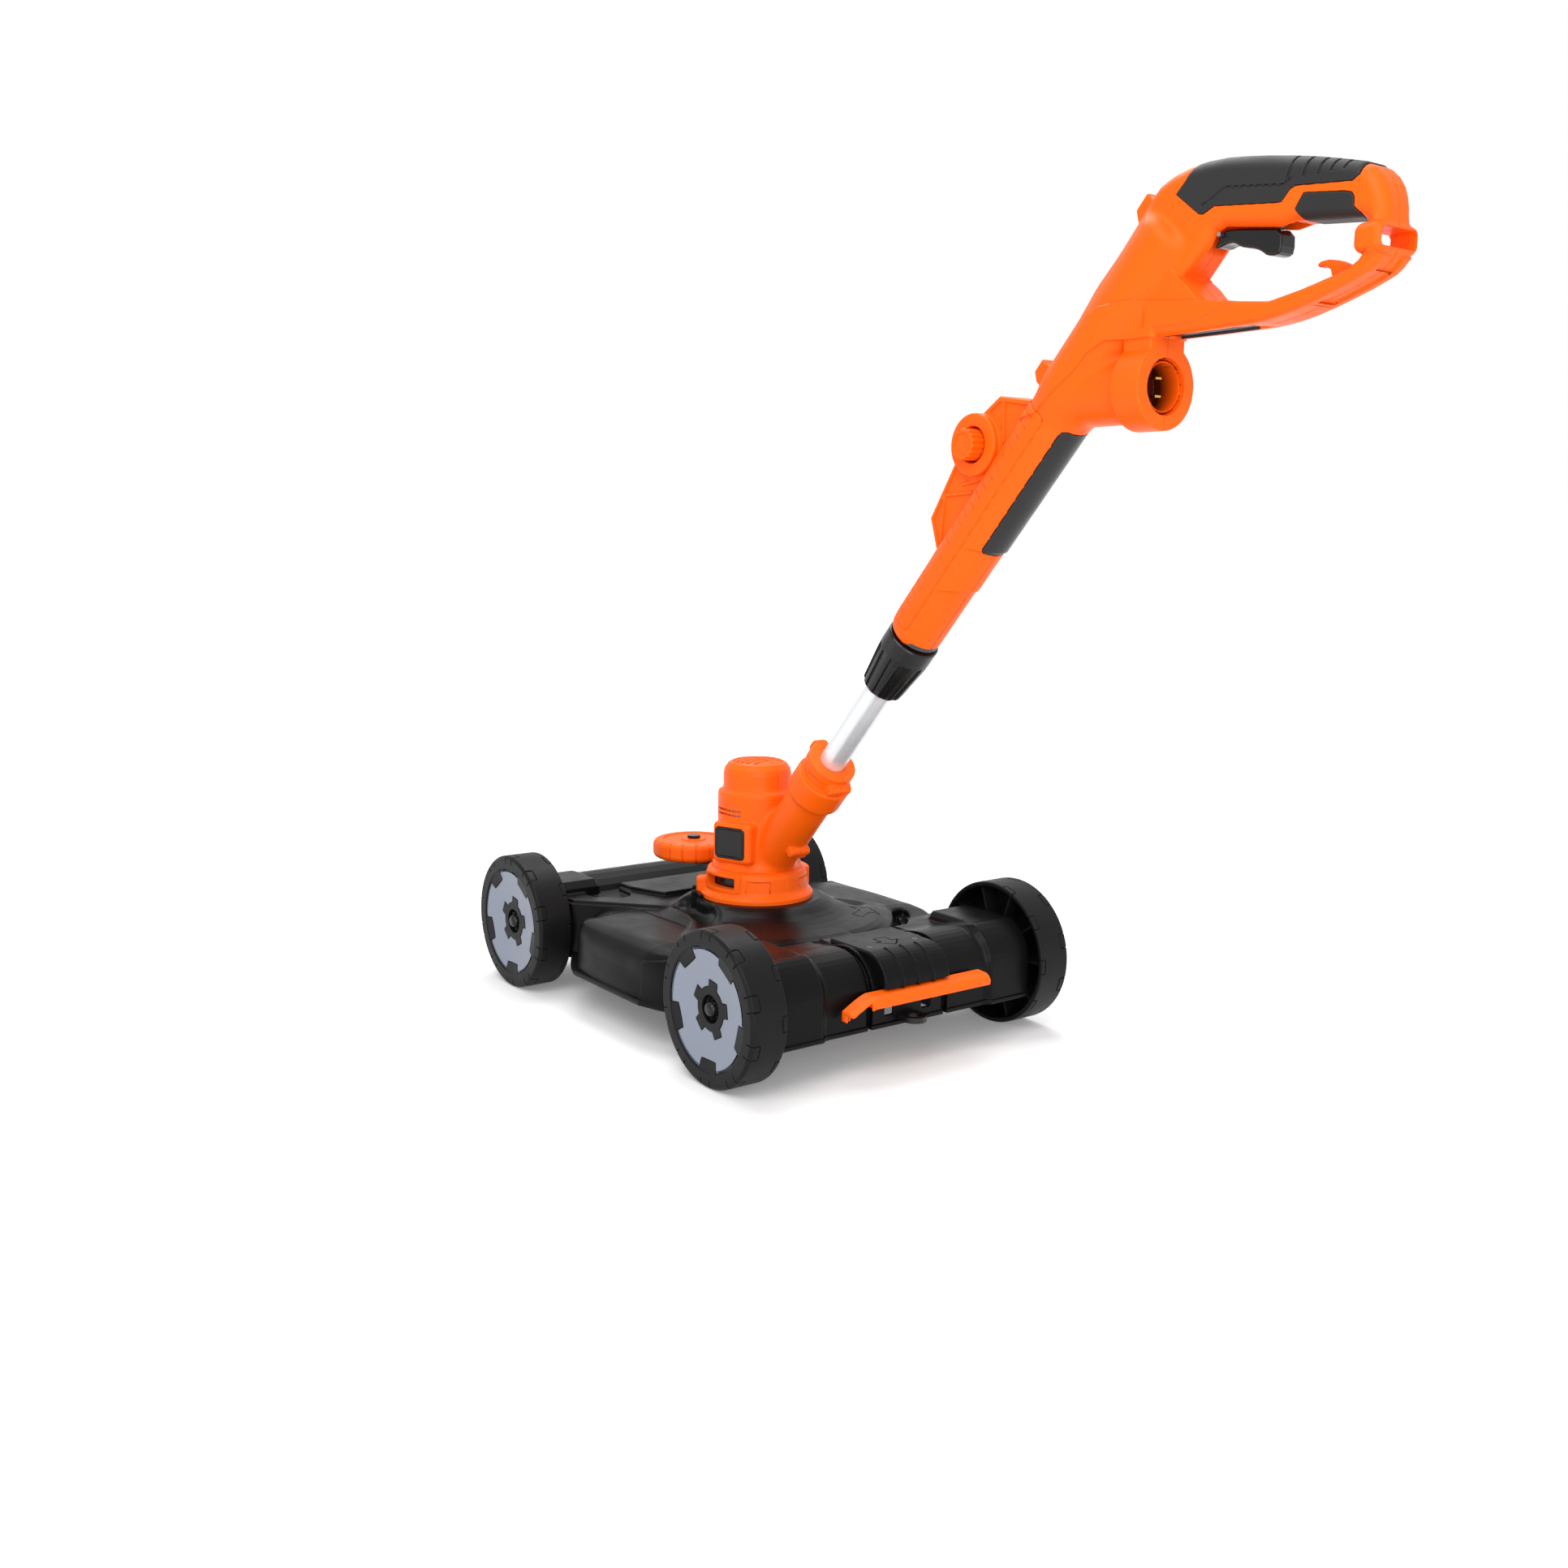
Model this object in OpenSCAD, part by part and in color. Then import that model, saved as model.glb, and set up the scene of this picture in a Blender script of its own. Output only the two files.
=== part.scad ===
// Wheeled string trimmer: a string trimmer on a telescoping shaft, docked in a four-wheeled cutting deck.
// Millimetres, +Z up, +Y towards the operator, origin on the ground under the string head.

/* [Wheels] */
// Radius of each wheel
wheel_r = 70; // [64:1:74]
// Width of each wheel
wheel_w = 37; // [34:1:40]
// Half of the distance between the front and rear axles
half_base = 185; // [180:1:192]
// Distance that a wheel's outer face stands out past the bowl's flat side
wheel_proud = 8; // [7:1:16]
// Radius of the axle rods
axle_r = 5; // [4:0.5:6]

/* [Deck] */
// Radius of the cutting bowl at its lip
bowl_r = 190; // [186:1:193]
// Depth of the bowl's flat sides, in from its lip
flat_in = 10; // [6:1:16]
// Height of the lip above the ground
lip_z = 40; // [36:1:44]
// Height of the shelves on the bowl's shoulder
shoulder_z = 93.5; // [93:0.5:95]
// Height of the docking collar's top
dock_z = 112; // [110:1:116]
// Wall of the deck moulding
deck_wall = 3; // [2.5:0.25:3.5]
// Height of the top of the axle beams
beam_top = 104; // [102:1:106]
// Depth of the axle beams from front to back
beam_d = 82; // [80:1:86]

/* [Head] */
// Radius of the motor barrel
barrel_r = 40; // [39:0.5:42]
// Radius of the docking base above its rim
base_r = 51; // [50:0.5:52]
// Radius of the docking base's rim
rim_r = 57.5; // [56:0.5:59]
// Height of the docking base above the deck
base_h = 31; // [29:1:33]
// Height of the motor housing above the docking base
housing_h = 109; // [105:1:115]
// Radius of the string head's housing
spool_r = 40; // [38:0.5:41]
// Gap from the end of the cutting line to the bowl's lip
line_gap = 40; // [38:1:60]
// Radius of the edge guide wheel
guide_r = 44; // [40:1:46]

/* [Shaft] */
// Rise of the shaft from the ground's plane, in degrees
tilt = 48; // [46:1:50]
// Height at which the shaft's axis meets the head's axis
shaft_z = 130; // [126:1:134]
// Outer diameter of the shaft tube
tube_d = 25.4; // [24:0.2:26]
// Wall of the shaft tube
tube_wall = 1.6; // [1.2:0.1:2]
// Length of the shaft tube
tube_l = 450; // [430:5:460]

/* [Handle] */
// Distance along the shaft to the lower end of the handle's barrel
sleeve_s = 347; // [340:1:360]
// Length of the handle's barrel
sleeve_l = 386; // [380:1:390]
// Radius of the handle's barrel
sleeve_r = 25; // [24:0.5:26]
// Wall of the handle's barrel
sleeve_wall = 3; // [2.5:0.25:3.5]
// Length of the twist collar
collar_l = 63; // [58:1:66]
// Width of the grip loop
grip_w = 34; // [32:1:38]
// Length of the grip loop from front to back
grip_l = 240; // [236:1:246]
// Height of the grip loop
grip_h = 111; // [108:1:114]
// Radius of the inlet cup
cup_r = 31; // [30:0.5:32]
// Spacing of the inlet blades
blade_gap = 12.7; // [12:0.1:13]

/* [Fits] */
// Gap between pieces that move past each other
gap = 0.3; // [0.2:0.05:0.4]
// Radial clearance of shafts and pins in their holes
fit = 0.05; // [0.02:0.01:0.1]

/* [Hidden] */
$fn = 72;
// Steps of each drawn arc, and the angle at which a rounded shoulder ends
arc_steps = 8;
shoulder_turn = 80;
// Overrun of every cut past the face that it opens
over = 1;
// Size of the blocks that halve the casings
far = 2000;

// Wheel details
tyre_t = 5;
tyre_edge = 2;
face_w = 7;
face_ring = 14.5;
notch_d = 10.5;
web_t = 3;
web_at = wheel_w - face_w - web_t;
disc_r = wheel_r - face_ring;
disc_t = 2.5;
disc_play = 0.2;
notch_r = disc_r - notch_d;
notch_in = 11;
notch_out = 17;
notch_turn = 2;
lobes = 5;
lobe_turn = 27;
star_r = 20;
star_tip = 26;
lobe_half = 6.5;
star_h = 4;
hub_r = 13;
hub_in = 3;
cap_hole_r = 12.6;
cap_hole_d = 9;
cap_r = 7;
cap_l = 6;
cap_h = 10;
cap_dome = 5;
rib_t = 2;
rib_in = 6;
ribs = 10;

// Deck details
bowl_half_w = bowl_r - flat_in;
wheel_face = bowl_half_w + wheel_proud;
cut_r = bowl_r - line_gap;
lip_h = 5;
lip_out = 6;
shoulder_round = 26;
shoulder_in = 43;
dome_in = 66;
dome_drop = 4;
bell_out = 31;
bell_rise = 2.5;
bell_step = 8;
rear_drop = 6;
ramp_start = 64;
ramp_end = 104;
hump_in = 51;
hump_r = bowl_r - hump_in;
hump_z = 97.5;
hump_fall = 7;
hump_edge = 8;
hump_half = 78;
hump_lean = 55;
bridge_half = 18;
shelf_in = 18;
shelf_half = bowl_r - shelf_in;
shelf_front = 88;
shelf_round = 18;
channel_in = 41;
channel_half = 8;
channel_z = 79;
channel_x = 62;
channel_y = 68;
plateau_z = 100;
plateau_shares = [[0.775, -0.8], [0.763, -0.653], [0.416, -0.263], [0.2, -0.16]];
plate_z = 104;
plate_shares = [[0.38, -0.8], [0.38, -0.68], [0.3, -0.45]];
front_r = 37;
front_top = 110;
front_turn = 150;
front_low = 88;
dock_hole_r = 47.5;
fence_t = 4;
fence_h = 5;
fence_y = 12;
beam_lead = 35;
beam_in = half_base - beam_lead;
beam_out = beam_in + beam_d;
beam_drop = 1;
beam_bot = lip_z - beam_drop;
beam_round = 34;
beam_half = 90;
box_rise = 8;
box_out = 4;
box_gap = 2;
box_end = wheel_face - wheel_w - box_gap;
box_start = beam_half - box_gap;
boss_r = 16;
boss_reach = 13;
boss_end = wheel_face - wheel_w + boss_reach;
boss_l = 24;
rail_t = 3;
rail_l = 75;
lug_t = 4;
lug_in = 28;
lug_h = 18;

// Latch cover, pedal and latch bar details
cover_half = 40;
cover_t = 4;
cover_skin = 3;
cover_lead = 18;
cover_in = beam_in + cover_lead;
cover_round = 28;
cover_back = 17;
cover_fall = 25;
cover_out = beam_out + cover_back;
cover_low = beam_top - cover_fall;
cover_ribs = 3;
cover_rib_gap = 20;
cover_rib_w = 3;
cover_rib_h = 1.2;
screw_x = 27;
screw_in = 20;
screw_y = beam_out - screw_in;
screw_r = 1.7;
screw_head_r = 3.2;
screw_head_h = 2.4;
screw_l = 14;
pivot_in = 30;
pivot_down = 38;
pivot_y = beam_out - pivot_in;
pivot_z = beam_top - pivot_down;
pin_r = 2.5;
knuckle_r = 6;
arm_x = 22;
arm_w = 10;
arm_h = 8;
pedal_back = 8;
pedal_in = beam_out + pedal_back;
pedal_d = 18;
pedal_h = 11;
pedal_half = 82;
pedal_bend = 12;
pedal_drop = 8;
tail_w = 10;
tail_t = 5;
tail_h = 22;
arm_slot_up = 8;
arm_slot_down = 16;
spring_t = 1.6;
spring_x = 8;
spring_w = 7;
bar_w = 24;
bar_t = 5;
bar_rise = 2;
bar_end = 3;
slot_play = 4.5;
eye_w = 23;
eye_t = 5;
eye_rise = 4;
eye_z = beam_bot + eye_rise;
eye_l = 23.5;
eye_hole_r = 6;
eye_edge = 9;

// Head details
base_z = dock_z + gap;
base_top = base_z + base_h;
base_round = 5;
base_wall = 4;
rim_h = 8;
spigot_play = 1.5;
spigot_h = 30;
spigot_r = dock_hole_r - spigot_play;
spigot_z = dock_z - spigot_h;
bar_z = spigot_z + bar_rise;
spigot_wall = 3;
floor_rise = 4;
floor_z = base_z + floor_rise;
floor_t = 8;
bearing_r = 11;
bearing_w = 7;
spindle_r = 4;
latch_pocket_d = 2;
face_turn = 18;
window_w = 36;
window_h = 8;
window_rise = 10;
window_z = base_z + window_rise;
frame_w = 50;
frame_h = 17;
frame_rise = 5.5;
frame_z = base_z + frame_rise;
frame_proud = 4;
frame_out = base_r + frame_proud;
waist_out = 4;
waist_r = barrel_r + waist_out;
waist_h = 10;
step_at = 80;
step_h = 3;
dome_step = 5.5;
dome_r = barrel_r - dome_step;
dome_round = 12;
housing_wall = 2.5;
pad_proud = 7;
pad_out = barrel_r + pad_proud;
pad_w = 50;
pad_h = 38;
pad_at = 11;
badge_w = 40;
badge_h = 26;
badge_t = 1.5;
tube_r = tube_d / 2;
neck_wall = 12.3;
neck_r = tube_r + neck_wall;
neck_from = 20;
neck_to = 140;
cup_from = 136;
cup_to = 178;
cup_wall = 17.3;
flange_wall = 18.8;
neck_cup_r = tube_r + cup_wall;
flange_r = tube_r + flange_wall;
flange_t = 8;
tube_from = 112;
lead_r = 6;
key_w = 3;
key_d = 0.6;
key_turn = 25;
boss_a_s = 81;
boss_a_out = 2;
boss_a_n = neck_r + boss_a_out;
boss_b_s = 166;
boss_b_in = 1;
boss_b_n = neck_cup_r - boss_b_in;
case_boss_r = 5;
case_boss_half = 14;
can_rise = 9;
can_h = 62;
can_from = base_top + can_rise;
can_to = can_from + can_h;
can_bore = 20;
arm_gap = 0.6;
core_inset = 8;
core_from = can_from + core_inset;
core_to = can_to - core_inset;
commutator_r = 11;
commutator_h = 12;
seat_r = 14;
seat_depth = 24;
seat_z = base_top + housing_h - seat_depth;
spindle_room = 2;
spindle_over = 4;
fan_play = 6;
fan_rise = 4;
fan_r = base_r - base_round - base_wall / 2 - fan_play;
fan_z = floor_z + floor_t + fan_rise;
fan_t = 2;
fan_h = 8;
fan_hub_r = 9;
blades = 8;

// String head details
head_h = 38;
head_drop = 16;
head_to = dock_z - head_drop;
head_from = head_to - head_h;
head_wall = 3;
head_top = 6;
head_hub_r = 10;
exit_rise = 12;
exit_z = head_from + exit_rise;
exit_r = 2.4;
line_r = 1;
line_turn = 225;
reel_play = 3;
reel_r = spool_r - head_wall - reel_play;
reel_core = 16;
reel_bore = 6;
reel_from = head_from;
reel_h = 22;
reel_flange = 2;
wind_in = 5;
wind_r = reel_r - wind_in;
cap_depth = 8;
cap_from = head_from - cap_depth;
cap_round = 3;
tab_w = 12;
tab_d = 1.5;

// Edge guide details
guide_reach = 65;
guide_y = -base_r - guide_reach;
guide_h = 19;
guide_rim = 8;
guide_face = 3;
guide_boss_r = 9;
guide_notches = 18;
guide_notch_r = 2;
post_r = 5;
bracket_t = 4;
bracket_z = base_z + rim_h + rim_r - base_r + gap;
guide_z = bracket_z + bracket_t + 2 * gap;
bracket_w = 22;
bracket_foot = 12;
bracket_foot_w = 32;
bracket_foot_d = 6;
guide_head_r = 7;
guide_head_h = 4;

// Handle details
nose_wall = 4.3;
nose_r = tube_r + nose_wall;
nose_l = 55;
collet_l = 28;
sleeve_lip = 3;
slit_w = 1.5;
slit_l = 43;
collar_wall = 5.3;
collar_r = tube_r + collar_wall;
collar_edge = 2;
collar_lip = 6;
collar_taper = 45;
flutes = 12;
flute_r = 2.4;
flute_from = 5;
flute_l = 40;
flute_d = 1.2;
collar_top_r = sleeve_r - collar_edge / 2;
collar_lean = atan2(collar_top_r - collar_r - collar_edge, collar_taper - collar_edge);
bore_stop = 13;
sleeve_end = sleeve_s + sleeve_l;
grip_back = 60.5;
grip_down = 57.7;
grip_y = sleeve_end * cos(tilt) - grip_back;
grip_z = shaft_z + sleeve_end * sin(tilt) - grip_down;
skin = 2.2;
cup_ahead = 64;
cup_below = 35;
cup_y = grip_y + cup_ahead;
cup_z = grip_z - cup_below;
cup_l = 84;
insert_wall = 4;
insert_r = cup_r - insert_wall;
insert_d = 28;
socket_r = 19;
socket_d = 24;
blade_w = 6.3;
blade_t = 1.5;
blade_l = 17;
loop_w = 44;
loop_d = 19;
loop_h = 19;
loop_wall = 3.6;
loop_share = [0.921, 0.261];
loop_y = grip_y + loop_share[0] * grip_l;
loop_z = grip_z + loop_share[1] * grip_h;
hook_t = 8;
lug_w = 12;
bracket_half = 16;
ring_r = 25;
ring_ahead = 177;
ring_s = sleeve_s + ring_ahead;
ring_rise = 17.5;
ring_n = sleeve_r + ring_rise;
ring_in = 18;
ring_out = 22;
button_r = 14;
button_play = 0.7;
button_from = 8;
button_to = 33;
button_floor = 2;
button_spline = 1.2;
splines = 16;
bracket_bore_r = 5;
bracket_bore_d = 12;
trigger_w = 16;
trigger_play = 0.4;
trigger_pin_r = 1.5;
trigger_pin_half = 13;
pin_share = [0.471, 0.55];
slot_shares = [0.417, 0.708, 0.279, 0.658];
switch_share = 0.525;
return_share = 0.638;
pin_y = grip_y + pin_share[0] * grip_l;
pin_z = grip_z + pin_share[1] * grip_h;
slot_from = grip_y + slot_shares[0] * grip_l;
slot_to = grip_y + slot_shares[1] * grip_l;
slot_low = grip_z + slot_shares[2] * grip_h;
slot_top = grip_z + slot_shares[3] * grip_h;
switch_y = grip_y + switch_share * grip_l;
switch_l = 30;
switch_h = 13;
switch_w = 14;
return_y = grip_y + return_share * grip_l;
return_r = 2.5;
handle_screw_half = 12;

// Outlines of the grip loop, as shares of its length and height from its front lower corner
loop_shares = [[0, 0], [0, 0.35], [0.188, 0.703], [0.233, 0.896], [0.325, 0.982], [0.45, 1], [0.571, 0.968],
    [0.738, 0.901], [0.858, 0.829], [0.917, 0.775], [0.958, 0.685], [0.987, 0.568], [0.992, 0.46],
    [0.992, 0.297], [0.963, 0.221], [0.921, 0.18], [0.867, 0.135], [0.75, 0.054], [0.658, 0.014], [0.571, 0]];
opening_shares = [[0.321, 0.342], [0.429, 0.604], [0.667, 0.532], [0.717, 0.55], [0.917, 0.505],
    [0.942, 0.45], [0.942, 0.297], [0.908, 0.23], [0.75, 0.144], [0.658, 0.105], [0.513, 0.153],
    [0.375, 0.279]];
grip_shares = [[0.32, 0.827], [0.387, 0.685], [0.413, 0.676], [0.47, 0.712], [0.674, 0.649], [0.715, 0.73],
    [0.903, 0.694], [0.93, 0.79], [0.858, 0.86], [0.738, 0.94], [0.571, 1.02], [0.45, 1.04], [0.38, 1.01]];
pad_shares = [[0.719, 0.622], [0.743, 0.685], [0.887, 0.649], [0.913, 0.57], [0.913, 0.48], [0.747, 0.5]];
trigger_shares = [[0.438, 0.477], [0.452, 0.577], [0.478, 0.595], [0.679, 0.523], [0.692, 0.459],
    [0.667, 0.391], [0.642, 0.41], [0.608, 0.444], [0.517, 0.506], [0.463, 0.471]];
hook_shares = [[0.783, 0.288], [0.833, 0.306], [0.9, 0.24], [0.88, 0.19], [0.84, 0.19], [0.83, 0.255]];
lug_shares = [[0.14, 0.74], [0.18, 0.83], [0.24, 0.84], [0.24, 0.7]];
screw_shares = [[0.292, 0.748], [0.94, 0.6], [0.542, 0.054], [0.342, 0.207]];
// Outline of the auxiliary handle's bracket, as shares of its length and height along the barrel
bracket_ahead = 83;
bracket_s = sleeve_s + bracket_ahead;
bracket_l = 160;
bracket_rise = 28;
bracket_n = sleeve_r + bracket_rise;
bracket_shares = [[0, 0.3], [0.094, 0.81], [0.438, 1], [0.738, 1], [0.85, 0.943], [1, 0.3]];

// Points along an arc about a centre
function arc(c, r, a0, a1) = [for (i = [0 : arc_steps]) c + r * [cos(a0 + (a1 - a0) * i / arc_steps),
    sin(a0 + (a1 - a0) * i / arc_steps)]];
// Grip loop points from their shares
function grip_points(shares) = [for (p = shares) [grip_y + p[0] * grip_l, grip_z + p[1] * grip_h]];
function grip_point(p) = [grip_y + p[0] * grip_l, grip_z + p[1] * grip_h];

// Section of the bowl, moved in by a wall
function bowl_section(t, low, top) = concat(
    [[0, low], [bowl_r - (t > 0 ? lip_out + t : 0), low]],
    t > 0 ? [] : [[bowl_r, lip_z + lip_h]],
    [[bowl_r - lip_out - t, lip_z + lip_h]],
    arc([bowl_r - shoulder_in, top - shoulder_round], shoulder_round - t, 0, shoulder_turn),
    [[dome_in + bell_out - t, top + bell_rise - t], [dome_in + bell_step - t, dock_z - dome_drop - t],
        [dome_in - t, dock_z - t], [0, dock_z - t]]);
// Section of the hump over the rear half of the bowl, moved in by a wall
function hump_section(t, low) = [[0, low], [hump_r - t, low], [hump_r - t, hump_z - hump_fall - t],
    [hump_r - hump_edge - t, hump_z - t], [dome_in + bell_out - t, hump_z + bell_rise - t],
    [dome_in + bell_step - t, dock_z - dome_drop - t], [0, dock_z - dome_drop - t]];
// Plan of a raised part of the bowl's front, the same on both sides
function front_plan(shares) = concat(bowl_r * shares,
    [for (i = [len(shares) - 1 : -1 : 0]) bowl_r * [-shares[i][0], shares[i][1]]]);
// Section of an axle beam or wheel box, moved in by a wall
function beam_section(t, low, top, out) = concat(
    [[beam_in + t, low], [out - t, low]],
    arc([out - beam_round, top - beam_round], beam_round - t, 0, 90),
    [[beam_in + t, top - t]]);
// Section of the front axle beam, moved in by a wall
function front_section(t, low) = concat(
    [[beam_in + t, low], [beam_out - t, low]],
    arc([beam_out - front_r, front_top - front_r], front_r - t, 0, front_turn),
    [[beam_in + t, front_low - t]]);

// Turns a drawing in Y and Z into a slab across X
module across(w) {
    rotate([90, 0, 90])
        linear_extrude(w, center = true)
            children();
}
// Places children on the shaft, +Z along it and -Y up from it
module on_shaft(s = 0) {
    translate([0, 0, shaft_z])
        rotate([tilt - 90, 0, 0])
            translate([0, 0, s])
                children();
}
// Places a rod across X at a point of the middle plane
module rod_at(y, z, r, from, to) {
    translate([from, y, z])
        rotate([0, 90, 0])
            cylinder(r = r, h = to - from);
}
// Keeps one side of the middle plane
module half(side) {
    intersection() {
        children();
        translate([side > 0 ? 0 : -far, -far / 2, -far / 2])
            cube(far);
    }
}
module ring(r_out, r_in, h) {
    difference() {
        cylinder(r = r_out, h = h);
        translate([0, 0, -over])
            cylinder(r = r_in, h = h + 2 * over);
    }
}

// Wheels
module at_wheel(side, end) {
    translate([side * (wheel_face - wheel_w), end * half_base, wheel_r])
        rotate([0, 90 * side, 0])
            children();
}
module hub_star(grow = 0) {
    circle(star_r + grow);
    for (i = [0 : lobes - 1])
        rotate(lobe_turn + i * 360 / lobes)
            translate([0, -lobe_half - grow])
                square([star_tip + grow, 2 * (lobe_half + grow)]);
}
module disc_notches(grow = 0) {
    intersection() {
        circle(disc_r);
        for (i = [0 : lobes - 1])
            rotate(notch_turn + i * 360 / lobes)
                polygon([[notch_r - grow, -notch_in - grow], [notch_r - grow, notch_in + grow],
                    [wheel_r, notch_out + grow], [wheel_r, -notch_out - grow]]);
    }
}
module wheel(side, end) {
    color("#2b2b2c")
        at_wheel(side, end)
            difference() {
                union() {
                    difference() {
                        rotate_extrude()
                            polygon([[0, 0], [wheel_r - tyre_edge, 0], [wheel_r, tyre_edge],
                                [wheel_r, wheel_w - tyre_edge], [wheel_r - tyre_edge, wheel_w],
                                [0, wheel_w]]);
                        translate([0, 0, -over])
                            cylinder(r = wheel_r - tyre_t, h = web_at + over);
                        translate([0, 0, web_at + web_t])
                            cylinder(r = disc_r, h = wheel_w);
                    }
                    translate([0, 0, hub_in])
                        cylinder(r = hub_r, h = web_at - hub_in);
                    translate([0, 0, web_at])
                        linear_extrude(web_t + star_h)
                            hub_star();
                    translate([0, 0, web_at])
                        linear_extrude(web_t + disc_t)
                            disc_notches();
                    for (i = [0 : ribs - 1])
                        rotate(i * 360 / ribs)
                            translate([axle_r + rib_t, -rib_t / 2, rib_in])
                                cube([wheel_r - tyre_t / 2 - axle_r - rib_t, rib_t,
                                    web_at - rib_in + web_t / 2]);
                }
                translate([0, 0, web_at + web_t + star_h - cap_hole_d])
                    cylinder(r = cap_hole_r, h = cap_hole_d + over);
                translate([0, 0, -over])
                    cylinder(r = axle_r + fit, h = wheel_w);
                boss_room();
            }
}
// Room in a wheel's hollow for the axle boss
module boss_room() {
    translate([0, 0, -over])
        cylinder(r = boss_r + axle_r, h = boss_end - wheel_face + wheel_w + gap + over);
}
module wheel_disc(side, end) {
    color("#9ea6b4")
        at_wheel(side, end)
            translate([0, 0, web_at + web_t])
                linear_extrude(disc_t)
                    difference() {
                        circle(disc_r - disc_play);
                        hub_star(disc_play);
                        disc_notches(disc_play);
                    }
}
module axle(end) {
    color("#b9bcc0")
        rod_at(end * half_base, wheel_r, axle_r, -axle_end(), axle_end());
}
function axle_end() = wheel_face - wheel_w + web_at + web_t + star_h - cap_hole_d + cap_l;
module axle_caps() {
    color("#2b2b2c")
        for (side = [-1, 1])
            for (end = [-1, 1])
                at_wheel(side, end)
                    translate([0, 0, web_at + web_t + star_h - cap_hole_d + gap])
                        difference() {
                            rotate_extrude()
                                polygon(concat([[0, 0], [cap_r, 0]],
                                    arc([cap_r - cap_dome, cap_h - cap_dome], cap_dome, 0, 90),
                                    [[0, cap_h]]));
                            translate([0, 0, -over])
                                cylinder(r = axle_r, h = cap_l - gap + over);
                        }
}

// Deck
module bowl_solid(t, low) {
    intersection() {
        union() {
            rotate_extrude()
                polygon(bowl_section(t, low, shoulder_z - rear_drop));
            intersection() {
                rotate_extrude()
                    polygon(bowl_section(t, low, shoulder_z));
                across(far)
                    polygon([[-far / 2, 0], [ramp_end, 0], [ramp_end, shoulder_z - rear_drop - t],
                        [ramp_start, shoulder_z - t], [ramp_start, far / 2], [-far / 2, far / 2]]);
            }
        }
        translate([-bowl_half_w + t, -far / 2, -far / 2])
            cube([2 * (bowl_half_w - t), far, far]);
    }
}
// Hump behind the docking collar, with a bridge to the rear beam over the latch bar
module hump(t, low) {
    intersection() {
        rotate_extrude()
            polygon(hump_section(t, low));
        linear_extrude(far)
            polygon([[-hump_r, hump_lean + t], [-hump_half, t], [hump_half, t], [hump_r, hump_lean + t],
                [hump_r, far], [-hump_r, far]]);
    }
    translate([t - bridge_half, 0, low])
        cube([2 * (bridge_half - t), beam_in + deck_wall - t, hump_z - bell_rise - t - low]);
}
// Shelves that square off the bowl's shoulder at both sides, down a ramp to the rear
module shelves(t, low) {
    intersection() {
        rotate([90, 0, 0])
            linear_extrude(far, center = true)
                polygon(concat([[shelf_half - t, low]],
                    arc([shelf_half - shelf_round, shoulder_z - shelf_round], shelf_round - t, 0, 90),
                    arc([shelf_round - shelf_half, shoulder_z - shelf_round], shelf_round - t, 90, 180),
                    [[t - shelf_half, low]]));
        across(far)
            polygon(concat([[beam_in + deck_wall - t, low],
                    [beam_in + deck_wall - t, shoulder_z - rear_drop - t],
                    [ramp_end, shoulder_z - rear_drop - t], [ramp_start, shoulder_z - t]],
                arc([shelf_round - shelf_front, shoulder_z - shelf_round], shelf_round - t, 90, 180),
                [[t - shelf_front, low]]));
        cylinder(r = bowl_r - lip_out - t, h = far);
    }
}
// Channels between the hump and the rear ends of the shelves, grown by a wall
module channels(t) {
    for (side = [0, 1])
        mirror([side, 0, 0])
            intersection() {
                translate([0, 0, channel_z - t])
                    ring(bowl_r - channel_in + channel_half + t, bowl_r - channel_in - channel_half - t, far);
                translate([channel_x - t, channel_y - t, 0])
                    cube(far);
            }
}
// Raised front of the bowl and the place for a plate on it
module plateaus(t, low) {
    for (level = [[plateau_z, plateau_shares], [plate_z, plate_shares]])
        translate([0, 0, low])
            linear_extrude(level[0] - t - low)
                offset(delta = -t)
                    polygon(front_plan(level[1]));
}
module deck_mass(t, low) {
    difference() {
        union() {
            bowl_solid(t, low);
            shelves(t, low);
            hump(t, low);
            plateaus(t, low);
        }
        channels(t);
    }
}
module beams(t, low) {
    for (end = [0, 1])
        mirror([0, end, 0]) {
            across(2 * beam_half)
                polygon(end > 0 ? front_section(t, low) : beam_section(t, low, beam_top, beam_out));
            for (side = [-1, 1])
                translate([side * (box_start + box_end) / 2, 0, 0])
                    across(box_end - box_start - 2 * t)
                        polygon(beam_section(t, low, beam_top + box_rise, beam_out + box_out));
        }
}
module axle_bosses() {
    for (side = [-1, 1])
        for (end = [-1, 1])
            rod_at(end * half_base, wheel_r, boss_r, side > 0 ? boss_end - boss_l : -boss_end,
                side > 0 ? boss_end : boss_l - boss_end);
}
module dock_fence() {
    intersection() {
        translate([0, 0, dock_z - dome_drop])
            ring(rim_r + 2 * gap + fence_t, rim_r + 2 * gap, fence_h + dome_drop);
        translate([-far / 2, -far - fence_y, 0])
            cube(far);
    }
}
module latch_rails() {
    intersection() {
        for (side = [-1, 1])
            translate([side * (bar_w / 2 + gap) - (side < 0 ? rail_t : 0), dome_in, bar_z])
                cube([rail_t, rail_l, dock_z]);
        deck_mass(deck_wall / 2, lip_z);
    }
}
module pedal_lugs() {
    for (side = [-1, 1])
        translate([side * (lug_in + lug_t / 2), 0, 0])
            across(lug_t)
                polygon([[pivot_y - knuckle_r, pivot_z - knuckle_r],
                    [beam_out - deck_wall / 2, pivot_z - lug_h],
                    [beam_out - deck_wall / 2, pivot_z + knuckle_r],
                    [pivot_y - knuckle_r, pivot_z + knuckle_r]]);
}
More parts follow.
